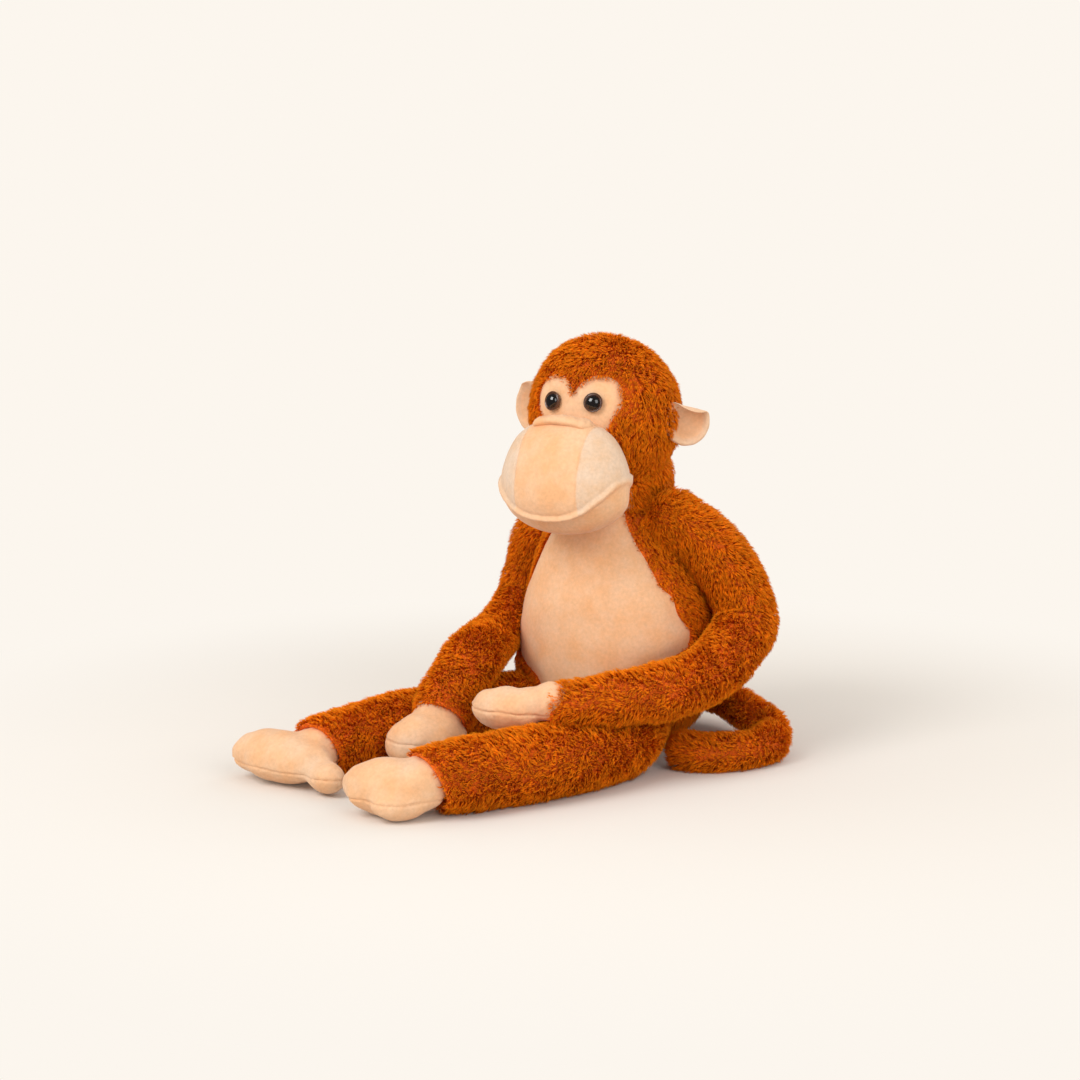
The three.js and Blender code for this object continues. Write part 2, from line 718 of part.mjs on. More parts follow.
function muzzle() {
  const neckRoom = ball(NECK, NECK_RADIUS + FABRIC + JOINT_GAP, SOCKET_ROUND);
  const skin = muzzleEgg(0).subtract(muzzleEgg(-FABRIC)).subtract(headEgg(GAP)).subtract(neckRoom);
  const { side: reach, back } = MUZZLE_SPACE;
  const behindCheeks = pushedThroughY(upright(-reach, reach), MUZZLE_BACK, back);
  const upper = skin.subtract(belowSmile(0)).subtract(behindCheeks);
  const inner = MUZZLE_SEAM - GAP / 2;
  const outer = MUZZLE_SEAM + GAP / 2;
  addPiece('muzzle_centre', surface(upper.intersect(slab(-inner, inner))), VELOUR);
  addPiece('muzzle_left', surface(upper.intersect(slab(outer, reach))), VELOUR);
  addPiece('muzzle_right', surface(upper.intersect(slab(-reach, -outer))), VELOUR);
  addPiece('jaw_panel', surface(skin.intersect(belowSmile(GAP))), VELOUR);
  const filling = muzzleEgg(-FABRIC - GAP).subtract(headEgg(GAP)).subtract(neckRoom);
  addPiece('muzzle_filling', surface(filling), FILLING);
}

// A soft pinched bridge lying on top of the muzzle, just under the eyes.
function nosePad() {
  const pad = solid(ellipsoid(NOSE_PAD, NOSE_PAD_RADII));
  return pad.subtract(muzzleEgg(GAP)).subtract(headEgg(GAP));
}

function head() {
  const neckRoom = ball(NECK, NECK_RADIUS + FABRIC + JOINT_GAP, SOCKET_ROUND);
  const skin = headEgg(0).subtract(headEgg(-FABRIC)).subtract(neckRoom);
  addPiece('head_fur', surface(skin.subtract(faceCut(GAP))), FUR);
  const shankRoom = eyeRoom(SHANK_RADIUS + SHANK_CLEARANCE, SHANK_LENGTH + 3);
  const plate = skin.intersect(faceCut(0)).subtract(shankRoom);
  addPiece('face_plate', surface(plate), VELOUR);
  const fillingRoom = ball(NECK, NECK_RADIUS + FABRIC + JOINT_GAP + GAP, SOCKET_ROUND);
  const washerRoom = eyeRoom(WASHER_RADIUS + GAP, SHANK_LENGTH + 2);
  const filling = headEgg(-FABRIC - GAP).subtract(fillingRoom).subtract(washerRoom);
  addPiece('head_filling', surface(filling), FILLING);
  muzzle();
  addPiece('nose_pad', surface(nosePad()), VELOUR);
  eye('left', 1);
  eye('right', -1);
}

// A ball of filling at the neck, inside a band of fur backing that is open above and below.
function neck() {
  addPiece('neck_filling', surface(ball(NECK, NECK_RADIUS - NECK_FILLING_INSET, LOBE_ROUND)), FILLING);
  const outside = arc(0, NECK_RADIUS + FABRIC, NECK_BAND_TOP, Math.PI - NECK_BAND_TOP);
  const inside = arc(0, NECK_RADIUS, Math.PI - NECK_BAND_TOP, NECK_BAND_TOP);
  const band = [...outside, ...inside, outside[0]];
  addPiece('neck_fur', aimed(turned(band), NECK, new THREE.Vector3(0, 0, 1)), FUR);
}

// A cupped velour ear: a rounded back and a lining set into its hollow.
function ear(sideName, sideSign) {
  const hinge = new THREE.Vector3(sideSign * EAR_HINGE.x, EAR_HINGE.y, EAR_HINGE.z);
  const headRoom = headEgg(1.5);
  const dish = (radius, depth, forwards) => {
    const shape = ellipsoid(new THREE.Vector3(), new THREE.Vector3(radius, depth, radius), EAR_ROUND);
    shape.translate(sideSign * EAR_OUTREACH, -forwards, 0);
    shape.rotateZ(sideSign * EAR_SWEEP);
    shape.translate(hinge.x, hinge.y, hinge.z);
    return solid(shape);
  };
  const body = dish(EAR_RADIUS, EAR_DEPTH, 0);
  const hollow = dish(EAR_RADIUS - EAR_RIM, EAR_DEPTH + 3, EAR_DEPTH + 1.5);
  const back = body.subtract(hollow).subtract(headRoom);
  addPiece(`ear_back_${sideName}`, surface(back), VELOUR);
  const inset = EAR_RADIUS - EAR_LINING_INSET;
  const lining = dish(inset, EAR_DEPTH + 2, EAR_DEPTH + 1.5)
    .subtract(dish(inset - 1, EAR_DEPTH + 0.5, EAR_DEPTH + 2.5))
    .intersect(body)
    .subtract(headRoom);
  addPiece(`ear_front_${sideName}`, surface(lining), VELOUR);
}

// ---- assembly ----

const leftFoot = [
  lobe([-15, -263, 19], [34, 21, 19], heading([-0.95, -0.3])),
  lobe([-2, -270, 11.5], [22, 11, 11], heading([0.6, 0.8])),
];
const rightFoot = [
  lobe([-126, -234, 18], [45, 22, 18], heading([-0.99, 0.1])),
  lobe([-81, -245, 11.5], [17, 11, 11], heading([0.95, -0.25])),
];

torso();
neck();
head();
ear('left', 1);
ear('right', -1);
arm('left');
arm('right');
leg('left', leftFoot);
leg('right', rightFoot);
tail();

export default group;
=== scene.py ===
import json
import math

import bpy
import numpy as np
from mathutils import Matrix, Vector
from mathutils.bvhtree import BVHTree
from mathutils.kdtree import KDTree


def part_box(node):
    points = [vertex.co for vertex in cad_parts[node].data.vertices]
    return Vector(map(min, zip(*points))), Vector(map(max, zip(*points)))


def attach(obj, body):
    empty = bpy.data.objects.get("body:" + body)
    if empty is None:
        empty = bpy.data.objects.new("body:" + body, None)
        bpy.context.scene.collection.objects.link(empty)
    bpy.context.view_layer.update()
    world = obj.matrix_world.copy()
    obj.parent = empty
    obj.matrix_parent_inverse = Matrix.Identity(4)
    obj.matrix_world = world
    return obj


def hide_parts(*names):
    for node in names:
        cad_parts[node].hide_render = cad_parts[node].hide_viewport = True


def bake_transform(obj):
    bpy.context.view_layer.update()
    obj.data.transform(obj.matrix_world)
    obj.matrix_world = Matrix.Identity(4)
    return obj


# The seated plush monkey: stuffed forms from the frame, a combed pile of real strands on
# the fur, velour with sewn seams on the face, belly, hands and feet. Metres, +Z up,
# the monkey faces -Y and its left side is +X.

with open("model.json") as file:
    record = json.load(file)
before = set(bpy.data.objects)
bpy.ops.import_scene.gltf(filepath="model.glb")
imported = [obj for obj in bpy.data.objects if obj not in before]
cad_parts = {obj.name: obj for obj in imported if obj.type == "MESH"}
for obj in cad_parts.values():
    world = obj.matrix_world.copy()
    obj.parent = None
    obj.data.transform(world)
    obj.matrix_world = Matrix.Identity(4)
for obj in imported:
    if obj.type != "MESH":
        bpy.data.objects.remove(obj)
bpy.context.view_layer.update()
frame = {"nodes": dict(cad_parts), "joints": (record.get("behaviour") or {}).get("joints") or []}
MM = 0.001
SIDES = {"left": 1, "right": -1}
PIVOT = {j["name"]: np.array(j["pos_m"], float) for j in frame["joints"]}


# ---- arrays and meshes ----

def unit(vectors):
    length = np.linalg.norm(vectors, axis=-1, keepdims=True)
    return vectors / np.maximum(length, 1e-12)


def smoothstep(low, high, values):
    share = np.clip((values - low) / (high - low), 0, 1)
    return share * share * (3 - 2 * share)


def ripple(points, size, seed, waves=12):
    """Smooth random numbers over space, about -1 to 1, that change over the given distance."""
    rng = np.random.default_rng(seed)
    direction = unit(rng.normal(size=(waves, 3)))
    direction *= 2 * np.pi / size * rng.uniform(0.5, 1.5, (waves, 1))
    phase = rng.uniform(0, 2 * np.pi, waves)
    return np.sin(points @ direction.T + phase).sum(1) / math.sqrt(waves)


def build(name, points, faces):
    """A new object from an array of points and an array of faces that all have as many corners."""
    mesh = bpy.data.meshes.new(name)
    corners = faces.shape[1]
    mesh.vertices.add(len(points))
    mesh.vertices.foreach_set("co", np.asarray(points, np.float32).ravel())
    mesh.loops.add(faces.size)
    mesh.loops.foreach_set("vertex_index", faces.astype(np.int32).ravel())
    mesh.polygons.add(len(faces))
    mesh.polygons.foreach_set("loop_start", np.arange(0, faces.size, corners, dtype=np.int32))
    mesh.update(calc_edges=True)
    mesh.validate()
    mesh.polygons.foreach_set("use_smooth", np.ones(len(mesh.polygons), bool))
    obj = bpy.data.objects.new(name, mesh)
    bpy.context.scene.collection.objects.link(obj)
    return obj


def points_of(mesh):
    points = np.zeros(len(mesh.vertices) * 3, np.float32)
    mesh.vertices.foreach_get("co", points)
    return points.reshape(-1, 3).astype(float)


def triangles_of(mesh):
    mesh.calc_loop_triangles()
    corners = np.zeros(len(mesh.loop_triangles) * 3, np.int32)
    mesh.loop_triangles.foreach_get("vertices", corners)
    return corners.reshape(-1, 3)


def normals_of(mesh):
    normals = np.zeros(len(mesh.vertices) * 3, np.float32)
    mesh.vertices.foreach_get("normal", normals)
    return normals.reshape(-1, 3).astype(float)


def move_points(obj, points):
    obj.data.vertices.foreach_set("co", points.astype(np.float32).ravel())
    obj.data.update()


def apply_modifiers(obj):
    bpy.context.view_layer.update()
    evaluated = obj.evaluated_get(bpy.context.evaluated_depsgraph_get())
    mesh = bpy.data.meshes.new_from_object(evaluated)
    obj.modifiers.clear()
    obj.data = mesh
    mesh.polygons.foreach_set("use_smooth", np.ones(len(mesh.polygons), bool))


def edges_of(mesh):
    edges = np.zeros(len(mesh.edges) * 2, np.int32)
    mesh.edges.foreach_get("vertices", edges)
    return edges.reshape(-1, 2)


def averaged(values, edges, rounds):
    """Values at points, each round mixed with the mean of their neighbours."""
    count = np.bincount(edges.ravel(), minlength=len(values)).astype(float)
    values = values.astype(float)
    for _ in range(rounds):
        total = np.zeros_like(values)
        np.add.at(total, edges[:, 0], values[edges[:, 1]])
        np.add.at(total, edges[:, 1], values[edges[:, 0]])
        mean = total / np.maximum(count, 1).reshape((-1,) + (1,) * (values.ndim - 1))
        values = 0.5 * values + 0.5 * mean
    return values


def relax(obj, rounds):
    """Smooths a form without shrinking it: each round in is followed by one back out."""
    points = points_of(obj.data)
    edges = edges_of(obj.data)
    for _ in range(rounds):
        points = points + (averaged(points, edges, 1) - points)
        points = points - 1.04 * (averaged(points, edges, 1) - points)
    move_points(obj, points)


def subdivide(obj, levels):
    modifier = obj.modifiers.new("Subdivision", "SUBSURF")
    modifier.levels = levels
    modifier.render_levels = levels
    apply_modifiers(obj)


# ---- stuffed forms from the frame ----

def joined_nodes(nodes):
    points, faces, start = [], [], 0
    for node in nodes:
        mesh = frame["nodes"][node].data
        points.append(points_of(mesh))
        faces.append(triangles_of(mesh) + start)
        start += len(mesh.vertices)
    return np.vstack(points), np.vstack(faces)


def largest_island(obj):
    """Drops everything but the island of the mesh with the most points."""
    mesh = obj.data
    edges = edges_of(mesh)
    label = np.arange(len(mesh.vertices))
    while True:
        low = np.minimum(label[edges[:, 0]], label[edges[:, 1]])
        before = label.copy()
        np.minimum.at(label, edges[:, 0], low)
        np.minimum.at(label, edges[:, 1], low)
        label = label[label]
        if (label == before).all():
            break
    best = np.bincount(label).argmax()
    keep_faces(obj, lambda corners: (label[corners] == best).all())


def keep_faces(obj, wanted):
    mesh = obj.data
    points = points_of(mesh)
    faces = [list(p.vertices) for p in mesh.polygons if wanted(list(p.vertices))]
    used = np.unique(np.concatenate([np.array(f) for f in faces]))
    place = np.full(len(points), -1)
    place[used] = np.arange(len(used))
    kept = bpy.data.meshes.new(mesh.name)
    kept.from_pydata(points[used].tolist(), [], [[int(place[v]) for v in f] for f in faces])
    kept.update()
    kept.polygons.foreach_set("use_smooth", np.ones(len(kept.polygons), bool))
    obj.data = kept


def stuffed_form(name, nodes, voxel, smoothing):
    """One closed skin around all the given CAD nodes."""
    obj = build(name, *joined_nodes(nodes))
    remesh = obj.modifiers.new("Remesh", "REMESH")
    remesh.mode = "VOXEL"
    remesh.voxel_size = voxel
    apply_modifiers(obj)
    largest_island(obj)
    relax(obj, smoothing)
    return obj


def inflate(obj, pinned, pressure, cap, frames=20):
    """Puffs a form like filled cloth. Pinned points are sewn down; no point moves further than the cap."""
    before = points_of(obj.data)
    group = obj.vertex_groups.new(name="sewn")
    group.add([int(i) for i in np.nonzero(pinned)[0]], 1.0, "REPLACE")
    modifier = obj.modifiers.new("Cloth", "CLOTH")
    cloth = modifier.settings
    cloth.quality = 5
    cloth.vertex_group_mass = "sewn"
    cloth.use_pressure = True
    cloth.uniform_pressure_force = pressure
    cloth.effector_weights.gravity = 0
    modifier.collision_settings.use_collision = False
    modifier.point_cache.frame_end = frames
    scene = bpy.context.scene
    for number in range(1, frames + 1):
        scene.frame_set(number)
    apply_modifiers(obj)
    scene.frame_set(1)
    obj.vertex_groups.clear()
    move = points_of(obj.data) - before
    length = np.linalg.norm(move, axis=1, keepdims=True)
    move *= np.minimum(1, cap / np.maximum(length, 1e-9))
    move_points(obj, before + move)


def distance_to(nodes, points):
    """How far each point is from the nearest of the given CAD nodes."""
    corners, faces = joined_nodes(nodes)
    tree = BVHTree.FromPolygons(corners.tolist(), faces.tolist())
    return np.array([tree.find_nearest(p)[3] for p in points.tolist()])


def seam_field(obj, ours, others, rounds=2):
    """Signed distance to the seam between two groups of CAD nodes: negative on our side."""
    points = points_of(obj.data)
    field = distance_to(ours, points) - distance_to(others, points)
    return averaged(field, edges_of(obj.data), rounds)


# ---- limbs and tail: tubes along the same runs as the CAD sections ----

# The direction a limb runs in at each of its joints.
ARM_RUNS = {
    "left": ((0.83, 0.42, -0.35), (0, -0.87, -0.42), (-0.78, -0.62, -0.1)),
    "right": ((-0.8, 0, -0.6), (0.08, -0.85, -0.5), (0.1, -0.75, -0.6)),
}
LEG_RUNS = {
    "left": ((0.2, -1, 0), (-0.14, -1, 0), (-0.42, -0.9, 0)),
    "right": ((-0.5, -0.9, 0), (-0.28, -0.96, 0), (-0.12, -1, 0)),
}
TAIL_RUNS = ((0.6, 0.8, 0), (0.75, -0.6, -0.1), (0.2, -0.95, -0.1), (-0.98, 0.15, 0))
TAIL_END = np.array((90, -60, 12)) * MM
ARM_RADII = {"left": (17.5, 18, 12), "right": (14.5, 13.5, 18.5)}
LEG_RADII = (19, 21.5, 19)
# How far the soft limb sags from its joints: at the first, the middle and the last one.
ARM_SAG = {"left": ((0, 0, 0), (-5, 0, -9), (0, 0, -4)), "right": ((10, 3, 0), (20, 4, 0), (10, 0, -2))}
LEG_SAG = ((0, 0, 0), (0, 0, 0), (0, 0, 1))
# How far a sleeve ends before the last joint; a negative one reaches over the hand.
ARM_SETBACK = {"left": -3 * MM, "right": -15 * MM}
LEG_SETBACK = 4 * MM
TAIL_RADII = (9.5, 9.5, 11)
TAIL_JOINT_RADIUS = 7.5
CUP_DEPTH = 4.2
STATION = 2.5 * MM
AROUND = 30
SLANT_STATIONS = 14
PAST_LAST_JOINT = 18 * MM


def section_points(start, end, start_run, end_run, straight):
    """A cubic curve between two joints that ends with a straight stretch."""
    joint = end
    end = end - end_run * straight
    reach = np.linalg.norm(end - start) / 3
    control = [start, start + start_run * reach, end - end_run * reach, end]
    share = np.linspace(0, 1, 60)[:, None]
    back = 1 - share
    curve = (back**3 * control[0] + 3 * back**2 * share * control[1]
             + 3 * back * share**2 * control[2] + share**3 * control[3])
    line = end + (joint - end) * np.linspace(0.1, 1, 10)[:, None]
    return np.vstack([curve, line])


def centreline(pivots, runs, radii):
    """Evenly spaced points along a limb, and the distance along it of each joint."""
    runs = [unit(np.array(run, float)) for run in runs]
    parts, marks, length = [pivots[0][None]], [0.0], 0.0
    for i in range(len(pivots) - 1):
        straight = (radii[i + 1] + CUP_DEPTH) * MM
        part = section_points(pivots[i], pivots[i + 1], runs[i], runs[i + 1], straight)
        parts.append(part[1:])
        length += np.linalg.norm(np.diff(part, axis=0), axis=1).sum()
        marks.append(length)
    parts.append((pivots[-1] + runs[len(pivots) - 1] * PAST_LAST_JOINT)[None])
    points = np.vstack(parts)
    along = np.concatenate([[0], np.cumsum(np.linalg.norm(np.diff(points, axis=0), axis=1))])
    even = np.arange(0, along[-1], STATION)
    return np.stack([np.interp(even, along, points[:, k]) for k in range(3)], 1), even, marks


def carried_frames(line):
    """Tangents of a line and two crossways directions that turn as little as they can."""
    tangent = unit(np.gradient(line, axis=0))
    across = np.zeros_like(tangent)
    first = np.cross(tangent[0], (0, 0, 1))
    across[0] = unit(first)
    for i in range(1, len(line)):
        side = across[i - 1] - tangent[i] * (across[i - 1] @ tangent[i])
        across[i] = unit(side)
    return tangent, across, np.cross(tangent, across)


def ring_faces(rings, around):
    """Triangles between rings of points that follow one another."""
    faces = []
    for i in range(rings - 1):
        for j in range(around):
            k = (j + 1) % around
            a, b = i * around, (i + 1) * around
            faces += [(a + j, a + k, b + k), (a + j, b + k, b + j)]
    return faces


def end_faces(rings, around):
    """Triangles that close the first and last ring onto two more points, one at each end."""
    first, last = rings * around, (rings - 1) * around
    faces = []
    for j in range(around):
        k = (j + 1) % around
        faces += [(first, k, j), (first + 1, last + j, last + k)]
    return faces


def reversed_faces(faces):
    return [face[::-1] for face in faces]


DOME_ANGLES = (15, 30, 46, 62, 78)


def tube(name, line, radius, domed_start, domed_end, skew=0.0):
    """A closed tube. An end is a dome, or a hem that turns back inside the tube.
    With skew, the last stretch reaches further on its upper side and less far below."""
    tangent, across, up = carried_frames(line)
    rings = []
    if domed_start:
        for angle in np.radians(DOME_ANGLES[::-1]):
            rings.append((0, -radius[0] * math.sin(angle), radius[0] * math.cos(angle), 1))
    else:
        rings += [(0, 6 * MM, radius[0] - 4 * MM, 0), (0, 0, radius[0] - 2 * MM, 0)]
    last = len(line) - 1
    rings += [(i, 0, radius[i], 1) for i in range(len(line))]
    if domed_end:
        for angle in np.radians(DOME_ANGLES):
            rings.append((last, radius[last] * math.sin(angle), radius[last] * math.cos(angle), 1))
    else:
        rings += [(last, 1 * MM, radius[last] - 1 * MM, 0), (last, -1 * MM, radius[last] - 3 * MM, 0),
                  (last, -6 * MM, radius[last] - 4 * MM, 0)]
    turn = np.arange(AROUND) * 2 * np.pi / AROUND
    points, flow, amount, trim = [], [], [], []
    for station, ahead, wide, furry in rings:
        spoke = np.cos(turn)[:, None] * across[station] + np.sin(turn)[:, None] * up[station]
        slant = skew * smoothstep(last - SLANT_STATIONS, last, station) * spoke[:, 2:]
        points.append(line[station] + tangent[station] * (ahead + slant) + wide * spoke)
        flow.append(np.repeat(tangent[station][None], AROUND, 0))
        amount.append(np.full(AROUND, float(furry)))
        near_end = min(station + HEM_STATIONS * domed_start, last - station + HEM_STATIONS * domed_end)
        trim.append(np.full(AROUND, HEM_TRIM + (1 - HEM_TRIM) * min(near_end / HEM_STATIONS, 1)))
    ends = [(rings[0], points[0].mean(0)), (rings[-1], points[-1].mean(0))]
    for (station, ahead, wide, furry), centre in ends:
        points.append(centre[None])
        flow.append(tangent[station][None])
        amount.append(np.array([float(furry)]))
        trim.append(np.ones(1))
    faces = ring_faces(len(rings), AROUND) + end_faces(len(rings), AROUND)
    obj = build(name, np.vstack(points), np.array(faces))
    return obj, np.vstack(flow), np.concatenate(amount), np.concatenate(trim)


# ---- the pile: combed, clumped strands of real geometry ----

STRANDS_PER_MM2 = 0.9
STRAND_LENGTH = 8 * MM
STRAND_RADIUS = 0.27 * MM
STRAND_ROOT = 0.8 * MM
STRAND_SIDES = 3
STRAND_POINTS = 2 * STRAND_SIDES + 1
MIDDLE_HEIGHT = 0.55
# A strand stands up at its root and leans over, by this angle, towards its tip.
LEAN = 0.85
ROOT_LEAN_SHARE = 0.45
HALF_LENGTH = 0.52
TIP_RISE = 0.75
# How far the combed direction wanders, over broad and over narrow stretches, and from strand to strand.
SWIRL = 0.4
SWIRL_SIZE = 34 * MM
TUFT_TURN = 0.4
TUFT_SIZE = 8 * MM
STRAND_TURN = 0.16
PATCH_SIZE = 14 * MM
# Strands gather in clumps: how many, how strongly, and how far apart they stay at the middle and tip.
CLUMP = 5
GATHER = 0.4
MIDDLE_SPREAD = 0.5
TIP_SPREAD = 0.16
# The most strands in one piece, so that no piece has too many faces.
MOST_STRANDS = 19000


def scatter(skin, amount, rng, carried):
    """Random points over a skin, thicker where the amount is larger, with the values carried there."""
    points = points_of(skin.data)
    faces = triangles_of(skin.data)
    a, b, c = (points[faces[:, k]] for k in range(3))
    weight = np.linalg.norm(np.cross(b - a, c - a), axis=1) / 2 * amount[faces].mean(1)
    count = int(STRANDS_PER_MM2 * weight.sum() / MM**2)
    pick = rng.choice(len(faces), count, p=weight / weight.sum())
    u, v = rng.random((2, count))
    over = u + v > 1
    u[over], v[over] = 1 - u[over], 1 - v[over]
    share = np.stack([1 - u - v, u, v], 1)[:, :, None]
    return [(values[faces[pick]] * share).sum(1) for values in [points, normals_of(skin.data), *carried]]


def gathered(roots, size, rng):
    """The strand at the heart of each strand's clump."""
    heads = rng.choice(len(roots), max(1, len(roots) // size), replace=False)
    tree = KDTree(len(heads))
    for number, head in enumerate(heads):
        tree.insert(roots[head], number)
    tree.balance()
    return heads[np.array([tree.find(p)[1] for p in roots.tolist()])]


def combed(root, normal, flow, seed, rng):
    """The direction each strand lies in: along the flow, with the swirls and tufts of a real pile."""
    lay = unit(flow - normal * (flow * normal).sum(1, keepdims=True))
    angle = SWIRL * ripple(root, SWIRL_SIZE, seed + 1) + TUFT_TURN * ripple(root, TUFT_SIZE, seed + 2)
    angle += rng.normal(0, STRAND_TURN, len(root))
    angle = angle[:, None]
    return lay * np.cos(angle) + np.cross(normal, lay) * np.sin(angle)


def strand_corners(start, middle, tip, normal, rng):
    """The points of each strand: three round its root, three round its middle, and its tip."""
    count = len(start)
    axis = unit(tip - start)
    side = unit(np.cross(axis, normal) + 1e-6)
    over = np.cross(side, axis)
    phase = rng.uniform(0, 2 * np.pi, count)
    wide = STRAND_RADIUS * rng.uniform(0.75, 1.2, count)
    corners = np.zeros((count, STRAND_POINTS, 3))
    for k in range(STRAND_SIDES):
        turn = phase + k * 2 * np.pi / STRAND_SIDES
        spread = side * (wide * np.cos(turn))[:, None] + over * (wide * np.sin(turn))[:, None]
        corners[:, k] = start + spread * 0.9
        corners[:, STRAND_SIDES + k] = middle + spread
    corners[:, -1] = tip
    return corners


def grow_pile(name, skin, flow, amount, seed, trim=None, lean=LEAN, length=STRAND_LENGTH):
    """The strands of one skin, as one or more pieces."""
    rng = np.random.default_rng(seed)
    trim = np.ones(len(amount)) if trim is None else trim
    root, normal, lay, trimmed = scatter(skin, amount, rng, [flow, trim[:, None]])
    count = len(root)
    normal = unit(normal)
    lay = combed(root, normal, lay, seed, rng)
    patch = ripple(root, PATCH_SIZE, seed + 3)
    lean = lean + 0.12 * patch + rng.normal(0, 0.1, count)
    length = length * trimmed[:, 0] * (1 + 0.07 * ripple(root, 6 * MM, seed + 4))
    length = (length * rng.uniform(0.85, 1.05, count))[:, None]
    up, out = np.cos(lean)[:, None], np.sin(lean)[:, None]
    root_lean = lean * ROOT_LEAN_SHARE
    half_up, half_out = np.cos(root_lean)[:, None], np.sin(root_lean)[:, None]
    middle = root + length * HALF_LENGTH * (normal * half_up + lay * half_out)
    tip = middle + length * HALF_LENGTH * (normal * up * TIP_RISE + lay * out)
    head = gathered(root, CLUMP, rng)
    apart = root - root[head]
    middle += 0.4 * GATHER * (middle[head] + MIDDLE_SPREAD * apart - middle)
    tip += GATHER * (tip[head] + TIP_SPREAD * apart - tip)
    corners = strand_corners(root - normal * STRAND_ROOT, middle, tip, normal, rng)
    tone = 0.5 + 0.07 * patch + rng.normal(0, 0.12, count) + 0.1 * rng.normal(0, 1, count)[head]
    groups = strand_groups(root)
    names = [name] if len(groups) == 1 else [f"{name}_{k + 1}" for k in range(len(groups))]
    return [strand_mesh(names[k], corners[group], tone[group]) for k, group in enumerate(groups)]


def strand_groups(roots):
    """The strands in groups small enough for one piece each, side by side along the pile's longest way."""
    longest = int(np.argmax(np.ptp(roots, axis=0)))
    order = np.argsort(roots[:, longest], kind="stable")
    return np.array_split(order, math.ceil(len(roots) / MOST_STRANDS))


def strand_faces():
    """The triangles of one closed strand."""
    tip = 2 * STRAND_SIDES
    faces = [(2, 1, 0)]
    for k in range(STRAND_SIDES):
        n = (k + 1) % STRAND_SIDES
        above, next_above = STRAND_SIDES + k, STRAND_SIDES + n
        faces += [(k, n, next_above), (k, next_above, above), (above, next_above, tip)]
    return np.array(faces)


def strand_mesh(name, corners, tone):
    count = len(corners)
    faces = strand_faces()[None] + np.arange(count)[:, None, None] * STRAND_POINTS
    obj = build(name, corners.reshape(-1, 3), faces.reshape(-1, 3))
    heights = [0] * STRAND_SIDES + [MIDDLE_HEIGHT] * STRAND_SIDES + [1]
    add_values(obj, "height", np.tile(heights, count))
    add_values(obj, "tone", np.repeat(np.clip(tone, 0, 1), STRAND_POINTS))
    cell_uvs(obj, count)
    return obj


def add_values(obj, name, values):
    attribute = obj.data.attributes.new(name, "FLOAT", "POINT")
    attribute.data.foreach_set("value", np.asarray(values, np.float32))


def cell_uvs(obj, count):
    """Lays each strand in its own small cell of the OFBake UV map."""
    side = math.ceil(math.sqrt(count))
    cell = np.arange(count)
    corner = np.array([(0.2, 0.1), (0.5, 0.1), (0.8, 0.1), (0.2, 0.5), (0.5, 0.5), (0.8, 0.5), (0.5, 0.9)])
    place = np.stack([cell % side, cell // side], 1)[:, None, :] + corner[None]
    place = (place / side).reshape(-1, 2)
    loops = np.zeros(len(obj.data.loops), np.int32)
    obj.data.loops.foreach_get("vertex_index", loops)
    layer = obj.data.uv_layers.new(name="OFBake")
    layer.data.foreach_set("uv", place[loops].astype(np.float32).ravel())


# ---- materials ----

def new_material(name, roughness):
    material = bpy.data.materials.new(name)
    material.use_nodes = True
    nodes = material.node_tree.nodes
    shader = nodes["Principled BSDF"]
    shader.inputs["Roughness"].default_value = roughness
    return material, nodes, material.node_tree.links, shader


def attribute_node(nodes, name):
    node = nodes.new("ShaderNodeAttribute")
    node.attribute_name = name
    return node


def ramp_node(nodes, stops):
    node = nodes.new("ShaderNodeValToRGB")
    elements = node.color_ramp.elements
    while len(elements) < len(stops):
        elements.new(0.5)
    for element, (place, color) in zip(elements, stops):
        element.position = place
        element.color = (*color, 1)
    return node


def multiplied(nodes, links, color, value, low, high):
    """A colour made darker or lighter by a value: by low at 0 and by high at 1."""
    spread = nodes.new("ShaderNodeMapRange")
    spread.inputs["To Min"].default_value = low
    spread.inputs["To Max"].default_value = high
    links.new(value, spread.inputs["Value"])
    mix = nodes.new("ShaderNodeVectorMath")
    mix.operation = "SCALE"
    links.new(color, mix.inputs[0])
    links.new(spread.outputs[0], mix.inputs["Scale"])
    return mix.outputs[0]


# The pile's colours from root to tip paint light and shade: painted shade makes the strands darker and
# redder towards the root, deep in the pile, and a painted highlight makes the tips paler and yellower.
FUR_ROOT_PAINTED_SHADE = (0.50, 0.085, 0.001)
FUR_MIDDLE = (0.88, 0.19, 0.003)
FUR_TIP = (0.98, 0.30, 0.007)
BACKING = (0.50, 0.085, 0.001)


def fur_material():
    material, nodes, links, shader = new_material("rust_pile", 0.55)
    height = attribute_node(nodes, "height")
    # The ramp over the strand's height carries the painted shade at the root and the painted highlight at
    # the tip.
    ramp = ramp_node(nodes, [(0, FUR_ROOT_PAINTED_SHADE), (MIDDLE_HEIGHT, FUR_MIDDLE), (1, FUR_TIP)])
    links.new(height.outputs["Fac"], ramp.inputs["Fac"])
    tone = attribute_node(nodes, "tone")
    color = multiplied(nodes, links, ramp.outputs["Color"], tone.outputs["Fac"], 0.62, 1.3)
    links.new(color, shader.inputs["Base Color"])
    shader.inputs["Specular IOR Level"].default_value = 0.06
    return material


def noise_node(nodes, links, place, scale, detail, roughness=0.5):
    noise = nodes.new("ShaderNodeTexNoise")
    noise.inputs["Scale"].default_value = scale
    noise.inputs["Detail"].default_value = detail
    noise.inputs["Roughness"].default_value = roughness
    links.new(place, noise.inputs["Vector"])
    return noise.outputs["Fac"]


def backing_material():
    material, nodes, links, shader = new_material("knitted_backing", 0.95)
    place = nodes.new("ShaderNodeTexCoord").outputs["Object"]
    noise = noise_node(nodes, links, place, 900, 2)
    ramp = ramp_node(nodes, [(0.3, BACKING), (0.7, tuple(2 * c for c in BACKING))])
    links.new(noise, ramp.inputs["Fac"])
    links.new(ramp.outputs["Color"], shader.inputs["Base Color"])
    return material
